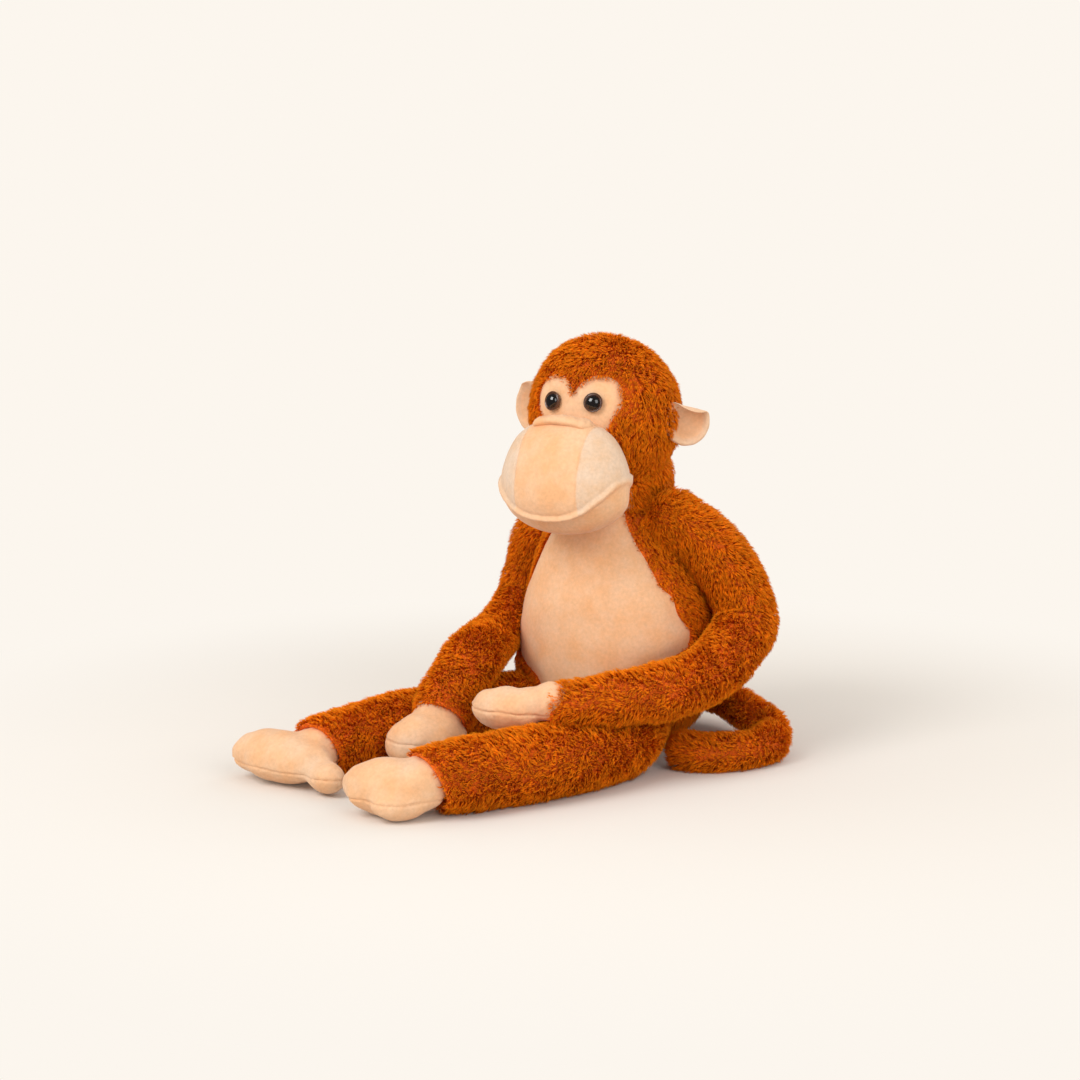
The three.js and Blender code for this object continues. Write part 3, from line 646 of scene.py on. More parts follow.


# What the tone multiplies the velour's colour by: pale at 0, plain, and deep at 1; on the muzzle it follows
# the panels' nap, on the hands and feet it varies at random, and on the ears its deep end is painted shade
# in the cup's hollow.
PLAIN = 0.35
PALE_NAP = (0.66, 0.78, 0.92)
PLAIN_NAP = (0.73, 0.71, 0.67)
DEEP_NAP_AND_SHADE = (0.60, 0.56, 0.53)


def velour_material(name, light, deep):
    """Short-nap velour: mottled where the nap lies different ways, with a soft sheen and a fine bump."""
    material, nodes, links, shader = new_material(name, 0.8)
    place = nodes.new("ShaderNodeTexCoord").outputs["Object"]
    broad = noise_node(nodes, links, place, 55, 3, 0.6)
    ramp = ramp_node(nodes, [(0.32, deep), (0.68, light)])
    links.new(broad, ramp.inputs["Fac"])
    fine = noise_node(nodes, links, place, 420, 4, 0.65)
    color = multiplied(nodes, links, ramp.outputs["Color"], fine, 0.8, 1.18)
    tone = attribute_node(nodes, "tone")
    shades = ramp_node(nodes, [(0, PALE_NAP), (PLAIN, PLAIN_NAP), (1, DEEP_NAP_AND_SHADE)])
    links.new(tone.outputs["Fac"], shades.inputs["Fac"])
    shaded = nodes.new("ShaderNodeVectorMath")
    shaded.operation = "MULTIPLY"
    links.new(color, shaded.inputs[0])
    links.new(shades.outputs["Color"], shaded.inputs[1])
    links.new(shaded.outputs[0], shader.inputs["Base Color"])
    nap = noise_node(nodes, links, place, 2600, 3, 0.7)
    bump = nodes.new("ShaderNodeBump")
    bump.inputs["Strength"].default_value = 0.35
    bump.inputs["Distance"].default_value = 0.25 * MM
    links.new(nap, bump.inputs["Height"])
    links.new(bump.outputs["Normal"], shader.inputs["Normal"])
    shader.inputs["Sheen Weight"].default_value = 0.3
    shader.inputs["Sheen Roughness"].default_value = 0.35
    shader.inputs["Sheen Tint"].default_value = (1, 0.87, 0.78, 1)
    shader.inputs["Specular IOR Level"].default_value = 0.15
    return material


def plastic_material(name, color, roughness, coat):
    material, nodes, links, shader = new_material(name, roughness)
    place = nodes.new("ShaderNodeTexCoord").outputs["Object"]
    noise = noise_node(nodes, links, place, 700, 2)
    base = nodes.new("ShaderNodeRGB")
    base.outputs[0].default_value = (*color, 1)
    links.new(multiplied(nodes, links, base.outputs[0], noise, 0.85, 1.15), shader.inputs["Base Color"])
    shader.inputs["Coat Weight"].default_value = coat
    shader.inputs["Coat Roughness"].default_value = 0.03
    return material


FUR = fur_material()
KNIT = backing_material()
VELOUR = velour_material("peach_velour", (1.08, 0.70, 0.45), (1.07, 0.60, 0.32))
EYE = plastic_material("black_eye", (0.006, 0.004, 0.004), 0.12, 1.0)
RING = plastic_material("brown_ring", (0.09, 0.035, 0.018), 0.25, 0.6)


def dress(obj, material, slot, *nodes):
    obj.data.materials.clear()
    obj.data.materials.append(material)
    if nodes:
        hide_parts(*nodes)


def dress_plain(obj, *nodes):
    """Velour of one even tone."""
    add_values(obj, "tone", np.full(len(obj.data.vertices), PLAIN))
    dress(obj, VELOUR, "velour", *nodes)


def dress_fur(piles, *nodes):
    for pile in piles:
        dress(pile, FUR, "fur", *nodes)


# ---- fur on the limbs and tail ----

HEM_TRIM = 0.6
HEM_STATIONS = 5
CUFF_SLANT = 8 * MM


def evened_radius(even, marks, radii, seed, line):
    """A limb's radius along its line, with slight lumps in the stuffing."""
    radius = np.interp(even, marks, np.array(radii) * MM)
    return radius + 0.7 * MM * ripple(line, 38 * MM, seed)


def sagged(line, even, marks, sag):
    """The line moved at its joints by the given amounts, and smoothly in between."""
    sag = np.array(sag, float) * MM
    for k in range(len(marks) - 1):
        share = smoothstep(marks[k], marks[k + 1], even)[:, None]
        line = line + share * (sag[k + 1] - sag[k])
    return line


def furred_limb(name, joints, runs, radii, sag, nodes, seed, setback, skew):
    """One sewn fur tube over two sections, bending at the joint between them."""
    pivots = [PIVOT[joint] for joint in joints]
    line, even, marks = centreline(pivots, runs, radii)
    line = sagged(line, even, marks, sag)
    keep = even <= marks[-1] - setback
    line, even = line[keep], even[keep]
    radius = evened_radius(even, marks, radii, seed, line)
    skin, flow, amount, trim = tube(name + "_backing", line, radius, True, False, skew)
    piles = grow_pile(name + "_pile", skin, flow, amount, seed, trim)
    dress(skin, KNIT, "fur", *nodes)
    dress_fur(piles, *[node for node in nodes if "_fur_" in node])
    for piece in (skin, *piles):
        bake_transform(piece)


def furred_arm(side, seed):
    nodes = [f"upper_arm_fur_{side}", f"upper_arm_filling_{side}", f"shoulder_filling_{side}",
             f"forearm_fur_{side}", f"forearm_filling_{side}"]
    joints = [f"shoulder_swing_{side}", f"elbow_bend_{side}", f"wrist_bend_{side}"]
    furred_limb(f"arm_{side}", joints, ARM_RUNS[side], ARM_RADII[side], ARM_SAG[side],
                nodes, seed, ARM_SETBACK[side], 0)


def furred_leg(side, seed):
    nodes = [f"thigh_fur_{side}", f"thigh_filling_{side}", f"hip_filling_{side}",
             f"shin_fur_{side}", f"shin_filling_{side}"]
    joints = [f"hip_swing_{side}", f"knee_bend_{side}", f"ankle_bend_{side}"]
    furred_limb(f"leg_{side}", joints, LEG_RUNS[side], LEG_RADII, LEG_SAG,
                nodes, seed, LEG_SETBACK, CUFF_SLANT)


def furred_tail(seed):
    """Two fur tubes that meet in the middle section, each shaped with a bend at one joint."""
    names = ["tail_lift", "tail_sway", "tail_curl"]
    pivots = [PIVOT[name] for name in names] + [TAIL_END]
    line, even, marks = centreline(pivots, TAIL_RUNS, [TAIL_JOINT_RADIUS] * 3 + [-CUP_DEPTH])
    keep = even <= marks[-1]
    line, even = line[keep], even[keep]
    radius = evened_radius(even, [0, marks[2], even[-1]], TAIL_RADII, seed, line)
    split = int(np.searchsorted(even, (marks[1] + marks[2]) / 2))
    parts = [
        ("tail_base", slice(0, split + 1), True, ("tail_root", "tail_middle"), 1, TAIL_RUNS[1],
         ["tail_root_fur", "tail_root_filling"]),
        ("tail_end", slice(split, None), False, ("tail_middle", "tail_tip"), 2, TAIL_RUNS[2],
         ["tail_middle_fur", "tail_middle_filling", "tail_tip_fur", "tail_tip_filling"]),
    ]
    for number, (name, span, first, bodies, joint, run, nodes) in enumerate(parts):
        skin, flow, amount, _ = tube(name + "_backing", line[span], radius[span], first, not first)
        piles = grow_pile(name + "_pile", skin, flow, amount, seed + number)
        dress(skin, KNIT, "fur", *nodes)
        dress_fur(piles, nodes[0])
        for piece in (skin, *piles):
            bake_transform(piece)


# ---- torso and belly ----

def downwards(points, spread_from):
    """Nap that runs down, and away from a centre line."""
    flow = points - spread_from
    flow[:, 2] = 0
    return unit(unit(flow) * 0.25 + np.array((0, 0, -1)))


def displaced(obj, offsets):
    move_points(obj, points_of(obj.data) + normals_of(obj.data) * offsets[:, None])


def finer_copy(form):
    fine = bpy.data.objects.new(form.name + "_fine", form.data.copy())
    bpy.context.scene.collection.objects.link(fine)
    subdivide(fine, 1)
    return fine


def sheet_from(obj, name, keep, thickness):
    """A closed cloth sheet cut from a form: the kept points' faces, with an inner side and a hem."""
    sheet = bpy.data.objects.new(name, obj.data.copy())
    bpy.context.scene.collection.objects.link(sheet)
    keep_faces(sheet, lambda corners: keep[corners].all())
    solidify = sheet.modifiers.new("Thickness", "SOLIDIFY")
    solidify.thickness = thickness
    solidify.offset = -1
    apply_modifiers(sheet)
    return sheet


BELLY_INSET = 5 * MM
CLOTH_THICKNESS = 1.2 * MM


def filled_nape(points):
    """How far the cloth stands back below the neck, so that it runs on into it without a pinch."""
    height = smoothstep(128 * MM, 160 * MM, points[:, 2]) * smoothstep(178 * MM, 168 * MM, points[:, 2])
    middle = smoothstep(52 * MM, 20 * MM, np.abs(points[:, 0]))
    return 10 * MM * height * middle * smoothstep(0, 20 * MM, points[:, 1])


def torso_parts():
    balls = [f"{part}_filling_{side}" for part in ("shoulder", "hip") for side in SIDES]
    fabric = ["torso_fur", "belly_panel", "seat_panel", "torso_filling", "pellet_bag"]
    form = stuffed_form("torso_backing", fabric + balls + ["neck_filling"], 5 * MM, 6)
    seam = seam_field(form, ["belly_panel"], ["torso_fur"])
    resting = points_of(form.data)[:, 2] < 4 * MM
    inflate(form, (np.abs(seam) < 3 * MM) | resting, 4, 3 * MM)
    subdivide(form, 1)
    points = points_of(form.data)
    nape = smoothstep(140 * MM, 172 * MM, points[:, 2]) * smoothstep(-30 * MM, 0, points[:, 1])
    displaced(form, 7 * MM * nape)
    points = points_of(form.data)
    waist = smoothstep(40 * MM, 80 * MM, points[:, 2]) * smoothstep(165 * MM, 120 * MM, points[:, 2])
    points[:, 0] += 6 * MM * waist * smoothstep(25 * MM, 60 * MM, points[:, 0])
    points[:, 1] += filled_nape(points)
    move_points(form, points)
    seam = seam_field(form, ["belly_panel"], ["torso_fur"], 10) + BELLY_INSET
    points = points_of(form.data)
    amount = smoothstep(-2 * MM, -1 * MM, seam) * (points[:, 2] > 1 * MM)
    flow = downwards(points, np.array((0, 10 * MM, 0)))
    trim = 0.6 + 0.4 * smoothstep(0, 9 * MM, seam)
    piles = grow_pile("torso_pile", form, flow, amount, 41, trim, lean=1.0)
    dress(form, KNIT, "fur", "torso_fur", "seat_panel", "torso_filling", "pellet_bag")
    dress_fur(piles, "torso_fur", "seat_panel")
    belly = belly_sheet(form)
    for piece in (form, *piles, belly):
        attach(piece, "torso")


def belly_sheet(form):
    fine = finer_copy(form)
    seam = seam_field(fine, ["belly_panel"], ["torso_fur"], 24) + BELLY_INSET
    points = points_of(fine.data)
    crown = 1.6 * MM * smoothstep(0, 12 * MM, -seam) - 1.2 * MM * smoothstep(-1.5 * MM, 3 * MM, seam)
    soft = 0.5 * MM * ripple(points, 45 * MM, 51) * smoothstep(4 * MM, 20 * MM, -seam)
    displaced(fine, crown + soft)
    belly = sheet_from(fine, "belly_velour", seam < 4 * MM, CLOTH_THICKNESS)
    bpy.data.objects.remove(fine)
    dress_plain(belly, "belly_panel")
    return belly


# ---- head ----

CROWN = np.array((0, 0.004, 0.3))


def from_crown(points):
    """Nap that runs from the crown of the head down on every side."""
    return unit(points - CROWN)


def head_form():
    form = stuffed_form("head_backing", ["head_fur", "face_plate", "head_filling"], 4 * MM, 8)
    seam = seam_field(form, ["face_plate"], ["head_fur"])
    inflate(form, np.abs(seam) < 2.5 * MM, 4, 2 * MM)
    subdivide(form, 1)
    points = points_of(form.data)
    points[:, 0] += 3.5 * MM * smoothstep(-25 * MM, -52 * MM, points[:, 0])
    move_points(form, points)
    return form


def head_parts():
    form = head_form()
    seam = seam_field(form, ["face_plate"], ["head_fur"], 5)
    points = points_of(form.data)
    amount = smoothstep(-3.2 * MM, -2.0 * MM, seam)
    trim = 0.7 + 0.3 * smoothstep(0, 8 * MM, seam)
    flow = from_crown(points)
    piles = grow_pile("head_pile", form, flow, amount, 61, trim, lean=0.95, length=8.5 * MM)
    plate = face_plate(form)
    dress(form, KNIT, "fur", "head_fur", "head_filling")
    dress_fur(piles, "head_fur")
    for piece in (form, *piles, plate):
        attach(piece, "head")


def face_plate(form):
    fine = finer_copy(form)
    seam = seam_field(fine, ["face_plate"], ["head_fur"], 8)
    points = points_of(fine.data)
    lift = 1.0 * MM * smoothstep(0, 7 * MM, -seam) - 0.8 * MM * smoothstep(-1 * MM, 2.5 * MM, seam)
    for side in SIDES:
        low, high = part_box(f"eye_ring_{side}")
        middle = np.array((low + high) / 2)
        lift -= 1.3 * MM * np.exp(-(np.linalg.norm(points - middle, axis=1) / (9 * MM)) ** 2)
    displaced(fine, lift)
    plate = sheet_from(fine, "face_plate_velour", seam < 3 * MM, CLOTH_THICKNESS)
    bpy.data.objects.remove(fine)
    dress_plain(plate, "face_plate")
    return plate


def sewn(obj, seam, depth, width, pucker, seed, where=1.0):
    """Draws a seam into a form: a groove along its zero line, with small puckers beside it."""
    points = points_of(obj.data)
    distance = np.abs(seam)
    groove = -depth * np.exp(-(distance / width) ** 2)
    gathers = pucker * ripple(points, 3.2 * MM, seed) * np.exp(-(distance / (3 * MM)) ** 2)
    displaced(obj, (groove + gathers) * where)


def muzzle():
    upper = ["muzzle_centre", "muzzle_left", "muzzle_right"]
    form = stuffed_form("muzzle_velour", upper + ["jaw_panel", "muzzle_filling"], 3.5 * MM, 8)
    cheek = seam_field(form, ["muzzle_centre"], ["muzzle_left", "muzzle_right"])
    smile = seam_field(form, upper, ["jaw_panel"])
    inflate(form, (np.minimum(np.abs(cheek), np.abs(smile)) < 1.8 * MM), 4, 2.5 * MM)
    subdivide(form, 2)
    smile = seam_field(form, upper, ["jaw_panel"], 8)
    cheek = seam_field(form, ["muzzle_centre"], ["muzzle_left", "muzzle_right"], 8)
    above = smoothstep(0, 5 * MM, -smile)
    sewn(form, cheek, 0.7 * MM, 0.9 * MM, 0.12 * MM, 71, above)
    lip = 1.9 * MM * np.exp(-((smile + 2.2 * MM) / (1.9 * MM)) ** 2)
    lip -= 0.5 * MM * np.exp(-((smile + 5.2 * MM) / (1.2 * MM)) ** 2)
    corner = 1 - 0.7 * smoothstep(43 * MM, 49 * MM, np.abs(points_of(form.data)[:, 0]))
    recovery = 1 - 0.6 * smoothstep(3 * MM, 14 * MM, smile)
    tuck = -1.8 * MM * smoothstep(-0.4 * MM, 1.2 * MM, smile) * recovery
    displaced(form, lip * corner + tuck)
    sewn(form, smile, 0.5 * MM, 0.7 * MM, 0.1 * MM, 72)
    add_values(form, "tone", PLAIN * np.maximum(smoothstep(-0.5 * MM, 1 * MM, -cheek), 1 - above))
    dress(form, VELOUR, "velour", *upper, "jaw_panel", "muzzle_filling")
    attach(form, "head")


def nose_bridge():
    """A soft pinched ridge over the muzzle, thicker at its two ends."""
    low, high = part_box("nose_pad")
    middle = np.array((low + high) / 2)
    half = (high.x - low.x) / 2
    stations, round_steps = 49, 24
    points = []
    for u in np.linspace(-1, 1, stations):
        ends = math.exp(-((abs(u) - 0.78) / 0.17) ** 2)
        wide = 4.2 * MM * (1 - u**6) ** 0.5 * (0.9 + 0.2 * ends)
        centre = middle + np.array((u * half, (3 + 5 * u * u) * MM, (-1.2 - 5.5 * u * u + 0.6 * ends) * MM))
        for turn in np.arange(round_steps) * 2 * np.pi / round_steps:
            points.append(centre + np.array((0, math.cos(turn) * wide * 2, math.sin(turn) * wide)))
    points = np.array(points)
    ends = [points[:round_steps].mean(0), points[-round_steps:].mean(0)]
    faces = reversed_faces(ring_faces(stations, round_steps) + end_faces(stations, round_steps))
    form = build("nose_bridge_velour", np.vstack([points, ends]), np.array(faces))
    subdivide(form, 1)
    shape = points_of(form.data)
    displaced(form, 0.3 * MM * ripple(shape, 7 * MM, 75))
    dress_plain(form, "nose_pad")
    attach(form, "head")


WELD_DISTANCE = 0.01 * MM


def lathe(name, profile, centre, axis, segments=56):
    """A closed body turned about an axis from [radius, height] corners that start and end on the axis."""
    axis = unit(axis)
    side = unit(np.cross(axis, (0, 0, 1)))
    over = np.cross(axis, side)
    turn = np.arange(segments) * 2 * np.pi / segments
    ring = np.cos(turn)[:, None] * side + np.sin(turn)[:, None] * over
    points = [centre + axis * height + ring * max(radius, 1e-6) for radius, height in profile]
    faces = reversed_faces(ring_faces(len(profile), segments))
    obj = build(name, np.vstack(points), np.array(faces))
    weld(obj)
    return obj


def weld(obj):
    """Joins points that lie on one another, as at a pole."""
    modifier = obj.modifiers.new("Weld", "WELD")
    modifier.merge_threshold = WELD_DISTANCE
    apply_modifiers(obj)


def arc_profile(radius, height, base, steps):
    """Corners of a shallow dome from its rim to its top."""
    angles = np.linspace(0, np.pi / 2, steps)
    return [(radius * math.cos(a), base + height * math.sin(a)) for a in angles]


def eye(side):
    """A glossy domed eye seated in a dark ring with a thin rim."""
    ring_points = points_of(frame["nodes"][f"eye_ring_{side}"].data)
    centre = ring_points.mean(0)
    facing = np.linalg.svd(ring_points - centre)[2][2]
    facing = facing if facing[1] < 0 else -facing
    dome = [(0, -2.5 * MM), (5.1 * MM, -2.5 * MM), (5.3 * MM, -0.4 * MM)]
    dome += arc_profile(5.3 * MM, 3.6 * MM, 0, 14)
    eyeball = lathe(f"eye_dome_{side}", dome, centre, facing)
    dress(eyeball, EYE, "black_plastic", f"eye_{side}")
    rim = [(0, -1.8 * MM), (6.4 * MM, -1.8 * MM), (6.8 * MM, -0.6 * MM), (6.85 * MM, 0.25 * MM),
           (6.65 * MM, 0.6 * MM), (6.35 * MM, 0.55 * MM), (6.1 * MM, 0.2 * MM), (5.7 * MM, 0.35 * MM),
           (5.45 * MM, 0.7 * MM), (5.1 * MM, 0.2 * MM), (0, 0.1 * MM)]
    ring = lathe(f"eye_rim_{side}", rim, centre, facing)
    dress(ring, RING, "brown_plastic", f"eye_ring_{side}", f"eye_washer_{side}")
    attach(eyeball, "head")
    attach(ring, "head")


# ---- ears ----

EAR_SWEEP = {"left": math.radians(36), "right": math.radians(25)}
EAR_OUTREACH = 12 * MM
EAR_FOLD = {"left": 7 * MM, "right": 15 * MM}
EAR_WIDTH = {"left": 0.92, "right": 1.0}
EAR_STRETCH = {"left": 0.05, "right": 0.16}
EAR_LIFT = {"left": 0, "right": 5 * MM}
# Radius and depth from the middle of the cup, round its rolled rim, to the middle of its back.
EAR_PROFILE = [(0, -3.4), (4, -3.3), (8, -2.6), (11, -1.2), (13.4, 0.9), (15.2, 2.4), (16.8, 2.6),
               (17.9, 1.4), (18.1, -0.4), (17.4, -2.4), (15, -4.3), (11, -6), (6, -7), (0, -7.3)]


def ear(side):
    """A cupped velour ear with a rolled rim whose top edge folds forwards."""
    sign = SIDES[side]
    hinge = PIVOT[f"ear_flap_{side}"]
    sweep = EAR_SWEEP[side]
    outward = np.array((sign * math.cos(sweep), math.sin(sweep), 0))
    forward = np.array((sign * math.sin(sweep), -math.cos(sweep), 0))
    centre = hinge + outward * EAR_OUTREACH
    profile = np.array(EAR_PROFILE) * MM
    around = 48
    points = []
    for radius, height in profile:
        for turn in np.arange(around) * 2 * np.pi / around:
            stretch = 1 + EAR_STRETCH[side] * math.exp(-((turn - 1.7) / 0.7) ** 2)
            points.append((radius * math.cos(turn) * stretch, radius * math.sin(turn) * stretch, height))
    local = np.array(points)
    local = folded(local, EAR_FOLD[side], 3.8 * MM)
    local[:, 0] *= EAR_WIDTH[side]
    place = centre + local[:, :1] * outward + local[:, 2:] * forward
    place[:, 2] += local[:, 1] + EAR_LIFT[side]
    faces = ring_faces(len(profile), around)
    if sign > 0:
        faces = reversed_faces(faces)
    form = build(f"ear_velour_{side}", place, np.array(faces))
    weld(form)
    subdivide(form, 1)
    shape = points_of(form.data)
    displaced(form, 0.25 * MM * ripple(shape, 12 * MM, 81))
    # Painted shade: the tone is deeper in the hollow of the cup, fading out towards the rim, and paler than
    # plain velour on the rest of the ear.
    inner = (points_of(form.data) - centre) @ forward
    cup_shade = smoothstep(1.5 * MM, -2.5 * MM, inner) * (normals_of(form.data) @ forward > 0)
    add_values(form, "tone", 0.2 + 0.5 * cup_shade)
    dress(form, VELOUR, "velour", f"ear_back_{side}", f"ear_front_{side}")
    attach(form, f"ear_{side}")


def folded(local, line, bend):
    """Rolls everything above a line forwards round a small radius."""
    over = np.maximum(local[:, 1] - (line - 0.25 * local[:, 0]), 0)
    angle = np.minimum(over / bend, 2.2)
    rest = over - angle * bend
    up = bend * np.sin(angle) + rest * np.cos(angle) - over
    ahead = bend * (1 - np.cos(angle)) + rest * np.sin(angle)
    rolled = local.copy()
    rolled[:, 1] += up
    rolled[:, 2] += ahead
    return rolled


# ---- hands and feet ----

def stuffed_bag(name, nodes, pivot, neck, seam_height, body, seed):
    """A velour bag with a seam round its middle; its neck is held where it enters the cuff."""
    form = stuffed_form(name, nodes, 3 * MM, 4)
    points = points_of(form.data)
    held = np.linalg.norm(points - pivot, axis=1) < neck
    seam = points[:, 2] - seam_height
    inflate(form, held | (np.abs(seam) < 1.4 * MM), 4, 3 * MM)
    subdivide(form, 2)
    points = points_of(form.data)
    seam = points[:, 2] - seam_height - 0.8 * MM * ripple(points, 40 * MM, seed)
    outside = smoothstep(neck * 0.6, neck * 1.2, np.linalg.norm(points - pivot, axis=1))
    sewn(form, seam, 0.9 * MM, 0.8 * MM, 0.2 * MM, seed + 1, outside)
    displaced(form, 0.5 * MM * ripple(points, 22 * MM, seed + 2))
    add_values(form, "tone", np.clip(PLAIN + 0.12 * ripple(points, 30 * MM, seed + 3), 0, 1))
    dress(form, VELOUR, "velour", *nodes)
    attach(form, body)


def hands_and_feet():
    for number, side in enumerate(SIDES):
        wrist, ankle = PIVOT[f"wrist_bend_{side}"], PIVOT[f"ankle_bend_{side}"]
        hand_low, hand_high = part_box(f"hand_{side}")
        foot_low, foot_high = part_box(f"foot_{side}")
        hand_seam = hand_low.z + 0.4 * (hand_high.z - hand_low.z)
        foot_seam = foot_low.z + 0.33 * (foot_high.z - foot_low.z)
        stuffed_bag(f"hand_velour_{side}", [f"hand_{side}", f"hand_filling_{side}"], wrist, 14 * MM,
                    hand_seam, f"hand_{side}", 90 + 10 * number)
        stuffed_bag(f"foot_velour_{side}", [f"foot_{side}", f"foot_filling_{side}"], ankle, 17 * MM,
                    foot_seam, f"foot_{side}", 110 + 10 * number)


THROAT_HALF = 24 * MM


def throat_field(points):
    """Negative on the throat, where the belly's velour carries on up to the chin."""
    return np.maximum(np.abs(points[:, 0]) - THROAT_HALF, points[:, 1] + 18 * MM)


def neck():
    form = stuffed_form("neck_backing", ["neck_fur", "neck_filling"], 4 * MM, 4)
    subdivide(form, 1)
    points = points_of(form.data)
    sides = smoothstep(-20 * MM, 0, points[:, 1]) * smoothstep(32 * MM, 20 * MM, points[:, 1])
    displaced(form, 4 * MM * sides)
    points = points_of(form.data)
    seam = throat_field(points)
    amount = smoothstep(0, 1.5 * MM, seam)
    piles = grow_pile("neck_pile", form, downwards(points, np.zeros(3)), amount, 131)
    throat = sheet_from(form, "throat_velour", seam < 4 * MM, -1.5 * MM)
    dress_plain(throat, "neck_fur")
    dress(form, KNIT, "fur", "neck_fur", "neck_filling")
    dress_fur(piles, "neck_fur")
    for piece in (form, *piles, throat):
        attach(piece, "neck_tilter")


# ---- stage ----

CAMERA_AZIMUTH = math.radians(31)
CAMERA_PITCH = math.radians(8)
CAMERA_DISTANCE = 1.45
CAMERA_SHIFT = 0.055
CAMERA_HEIGHT = 0.35
LENS = 66.67
PALE = (0.95, 0.905, 0.845)
FLOOR = (0.76, 0.725, 0.68)
BACKDROP = (0.973, 0.922, 0.855)
WORLD_LIGHT = 0.75
# What glossy surfaces see in place of the bright floor and room.
REFLECTED_LIGHT = 0.12
FLOOR_HALF = 30


def camera():
    back = np.array((math.sin(CAMERA_AZIMUTH), -math.cos(CAMERA_AZIMUTH), 0))
    right = np.array((math.cos(CAMERA_AZIMUTH), math.sin(CAMERA_AZIMUTH), 0))
    data = bpy.data.cameras.new("camera")
    data.lens = LENS
    obj = bpy.data.objects.new("camera", data)
    place = back * CAMERA_DISTANCE - right * CAMERA_SHIFT
    obj.location = (place[0], place[1], CAMERA_HEIGHT)
    obj.rotation_euler = (math.pi / 2 - CAMERA_PITCH, 0, CAMERA_AZIMUTH)
    bpy.context.scene.collection.objects.link(obj)
    bpy.context.scene.camera = obj


def area_light(name, place, size, power):
    data = bpy.data.lights.new(name, "AREA")
    data.size = size
    data.energy = power
    obj = bpy.data.objects.new(name, data)
    obj.location = place
    toward = -np.array(place) + np.array((0, -0.08, 0.12))
    obj.rotation_euler = Vector(toward).to_track_quat("-Z", "Y").to_euler()
    bpy.context.scene.collection.objects.link(obj)


def lights():
    area_light("key", (-0.55, -1.5, 1.35), 1.0, 20.5)
    area_light("fill", (1.5, -0.9, 0.9), 1.2, 11)
    area_light("back", (0.6, 1.5, 1.3), 1.2, 10)
    world = bpy.data.worlds.new("studio")
    bpy.context.scene.world = world
    world.use_nodes = True
    nodes, links = world.node_tree.nodes, world.node_tree.links
    light = nodes["Background"]
    light.inputs["Color"].default_value = (*PALE, 1)
    light.inputs["Strength"].default_value = WORLD_LIGHT
    seen = background_node(nodes, BACKDROP, 1)
    dim = background_node(nodes, PALE, REFLECTED_LIGHT)
    rays = nodes.new("ShaderNodeLightPath")
    reflected = mixed_shader(nodes, links, rays.outputs["Is Glossy Ray"], light, dim)
    shown = mixed_shader(nodes, links, rays.outputs["Is Camera Ray"], reflected, seen)
    links.new(shown.outputs[0], nodes["World Output"].inputs["Surface"])
    bpy.context.scene.view_settings.view_transform = "Standard"


def background_node(nodes, color, strength):
    node = nodes.new("ShaderNodeBackground")
    node.inputs["Color"].default_value = (*color, 1)
    node.inputs["Strength"].default_value = strength
    return node


def mixed_shader(nodes, links, share, first, second):
    mix = nodes.new("ShaderNodeMixShader")
    links.new(share, mix.inputs[0])
    links.new(first.outputs[0], mix.inputs[1])
    links.new(second.outputs[0], mix.inputs[2])
    return mix


SUPPORTED = ["foot", "shin", "thigh", "hand", "forearm"]
SUPPORT_TURNS = (-30, 0, 30, 60, 90)


def supports():
    """Markers on the undersides of the limbs, for tilts forwards and back, and on the seat."""
    bodies = [f"{part}_{side}" for part in SUPPORTED for side in SIDES] + ["tail_tip", "tail_middle"]
    fabric = {"foot": "foot_{}", "hand": "hand_{}", "shin": "shin_fur_{}", "thigh": "thigh_fur_{}",
              "forearm": "forearm_fur_{}"}
    markers = [marker("support_seat", (0, 0, 0), "torso")]
    for body in bodies:
        part, _, side = body.rpartition("_")
        node = fabric[part].format(side) if part in fabric else body + "_fur"
        points = points_of(frame["nodes"][node].data)
        for turn in np.radians(SUPPORT_TURNS):
            lowest = (points @ np.array((0, math.sin(turn), math.cos(turn)))).argmin()
            place = points[lowest].copy()
            place[2] = max(place[2], 0)
            markers.append(marker(f"support_{body}_{len(markers)}", place, body))
    return markers


def marker(name, place, body):
    obj = bpy.data.objects.new(name, None)
    obj.empty_display_size = 2 * MM
    obj.location = place
    bpy.context.scene.collection.objects.link(obj)
    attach(obj, body)
    return obj


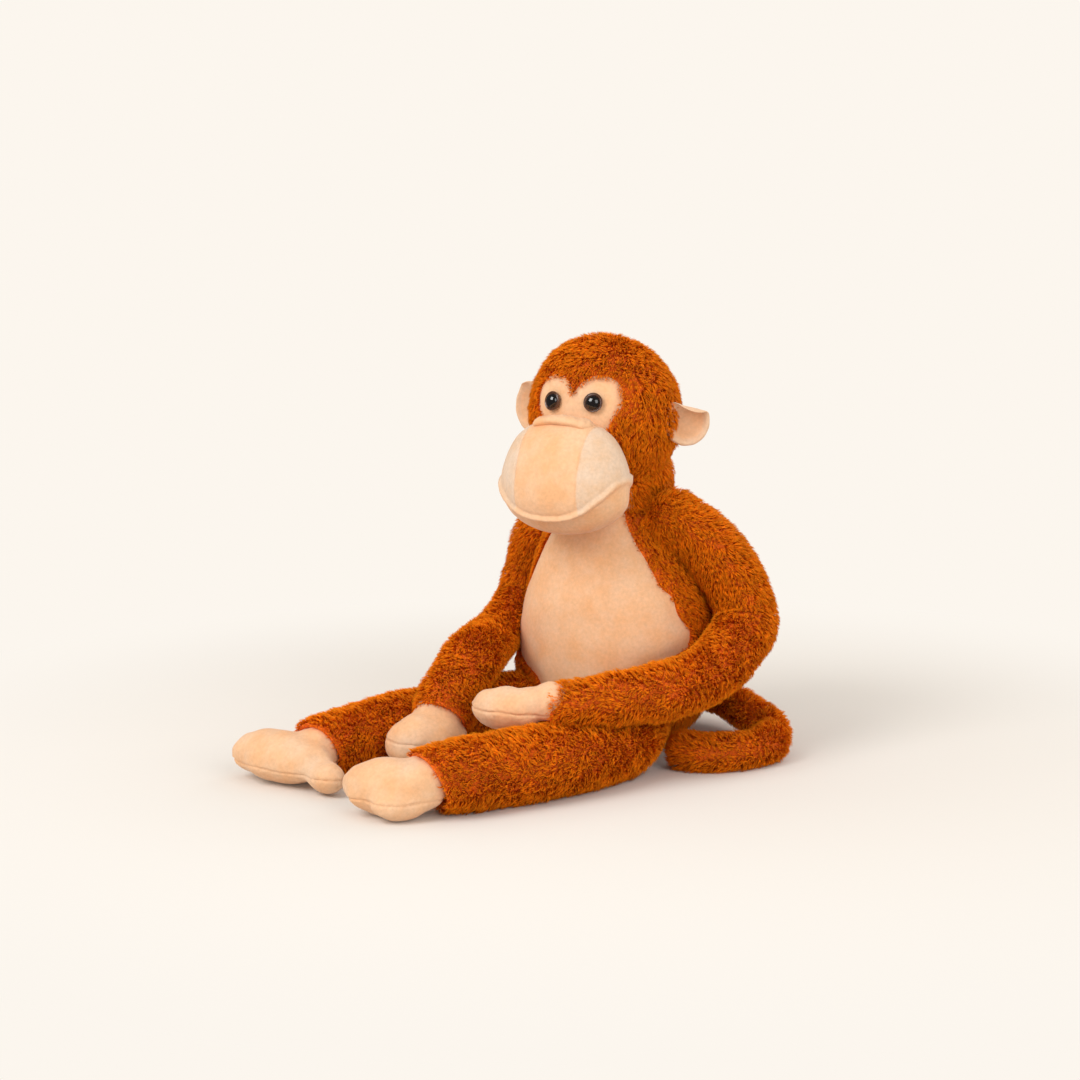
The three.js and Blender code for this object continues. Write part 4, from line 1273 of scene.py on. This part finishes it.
def lowered(obj, markers):
    """Keeps the floor under the lowest of the markers in every pose."""
    driver = obj.driver_add("location", 2).driver
    driver.type = "MIN"
    for number, item in enumerate(markers):
        variable = driver.variables.new()
        variable.name = f"height_{number}"
        variable.type = "TRANSFORMS"
        target = variable.targets[0]
        target.id = item
        target.transform_type = "LOC_Z"
        target.transform_space = "WORLD_SPACE"


def floor():
    corners = np.array([(-1, -1, 0), (1, -1, 0), (1, 1, 0), (-1, 1, 0)], float) * FLOOR_HALF
    obj = build("floor", corners, np.array([(0, 1, 2), (0, 2, 3)]))
    material, nodes, links, shader = new_material("pale_floor", 0.9)
    shader.inputs["Base Color"].default_value = (*FLOOR, 1)
    shader.inputs["Specular IOR Level"].default_value = 0
    far = nodes.new("ShaderNodeEmission")
    far.inputs["Color"].default_value = (*BACKDROP, 1)
    place = nodes.new("ShaderNodeTexCoord").outputs["Object"]
    distance = nodes.new("ShaderNodeVectorMath")
    distance.operation = "LENGTH"
    links.new(place, distance.inputs[0])
    fade = nodes.new("ShaderNodeMapRange")
    fade.interpolation_type = "SMOOTHSTEP"
    fade.inputs["From Min"].default_value = 0.22
    fade.inputs["From Max"].default_value = 0.62
    links.new(distance.outputs["Value"], fade.inputs["Value"])
    seen = mixed_shader(nodes, links, fade.outputs[0], shader, far)
    dark = nodes.new("ShaderNodeEmission")
    dark.inputs["Color"].default_value = (*PALE, 1)
    dark.inputs["Strength"].default_value = REFLECTED_LIGHT
    rays = nodes.new("ShaderNodeLightPath")
    mix = mixed_shader(nodes, links, rays.outputs["Is Glossy Ray"], seen, dark)
    links.new(mix.outputs[0], nodes["Material Output"].inputs["Surface"])
    obj.data.materials.append(material)
    lowered(obj, supports())


# ---- assembly ----

torso_parts()
neck()
head_parts()
muzzle()
nose_bridge()
for name in SIDES:
    eye(name)
    ear(name)
furred_arm("left", 11)
furred_arm("right", 14)
furred_leg("left", 17)
furred_leg("right", 20)
furred_tail(23)
hands_and_feet()
camera()
lights()
floor()
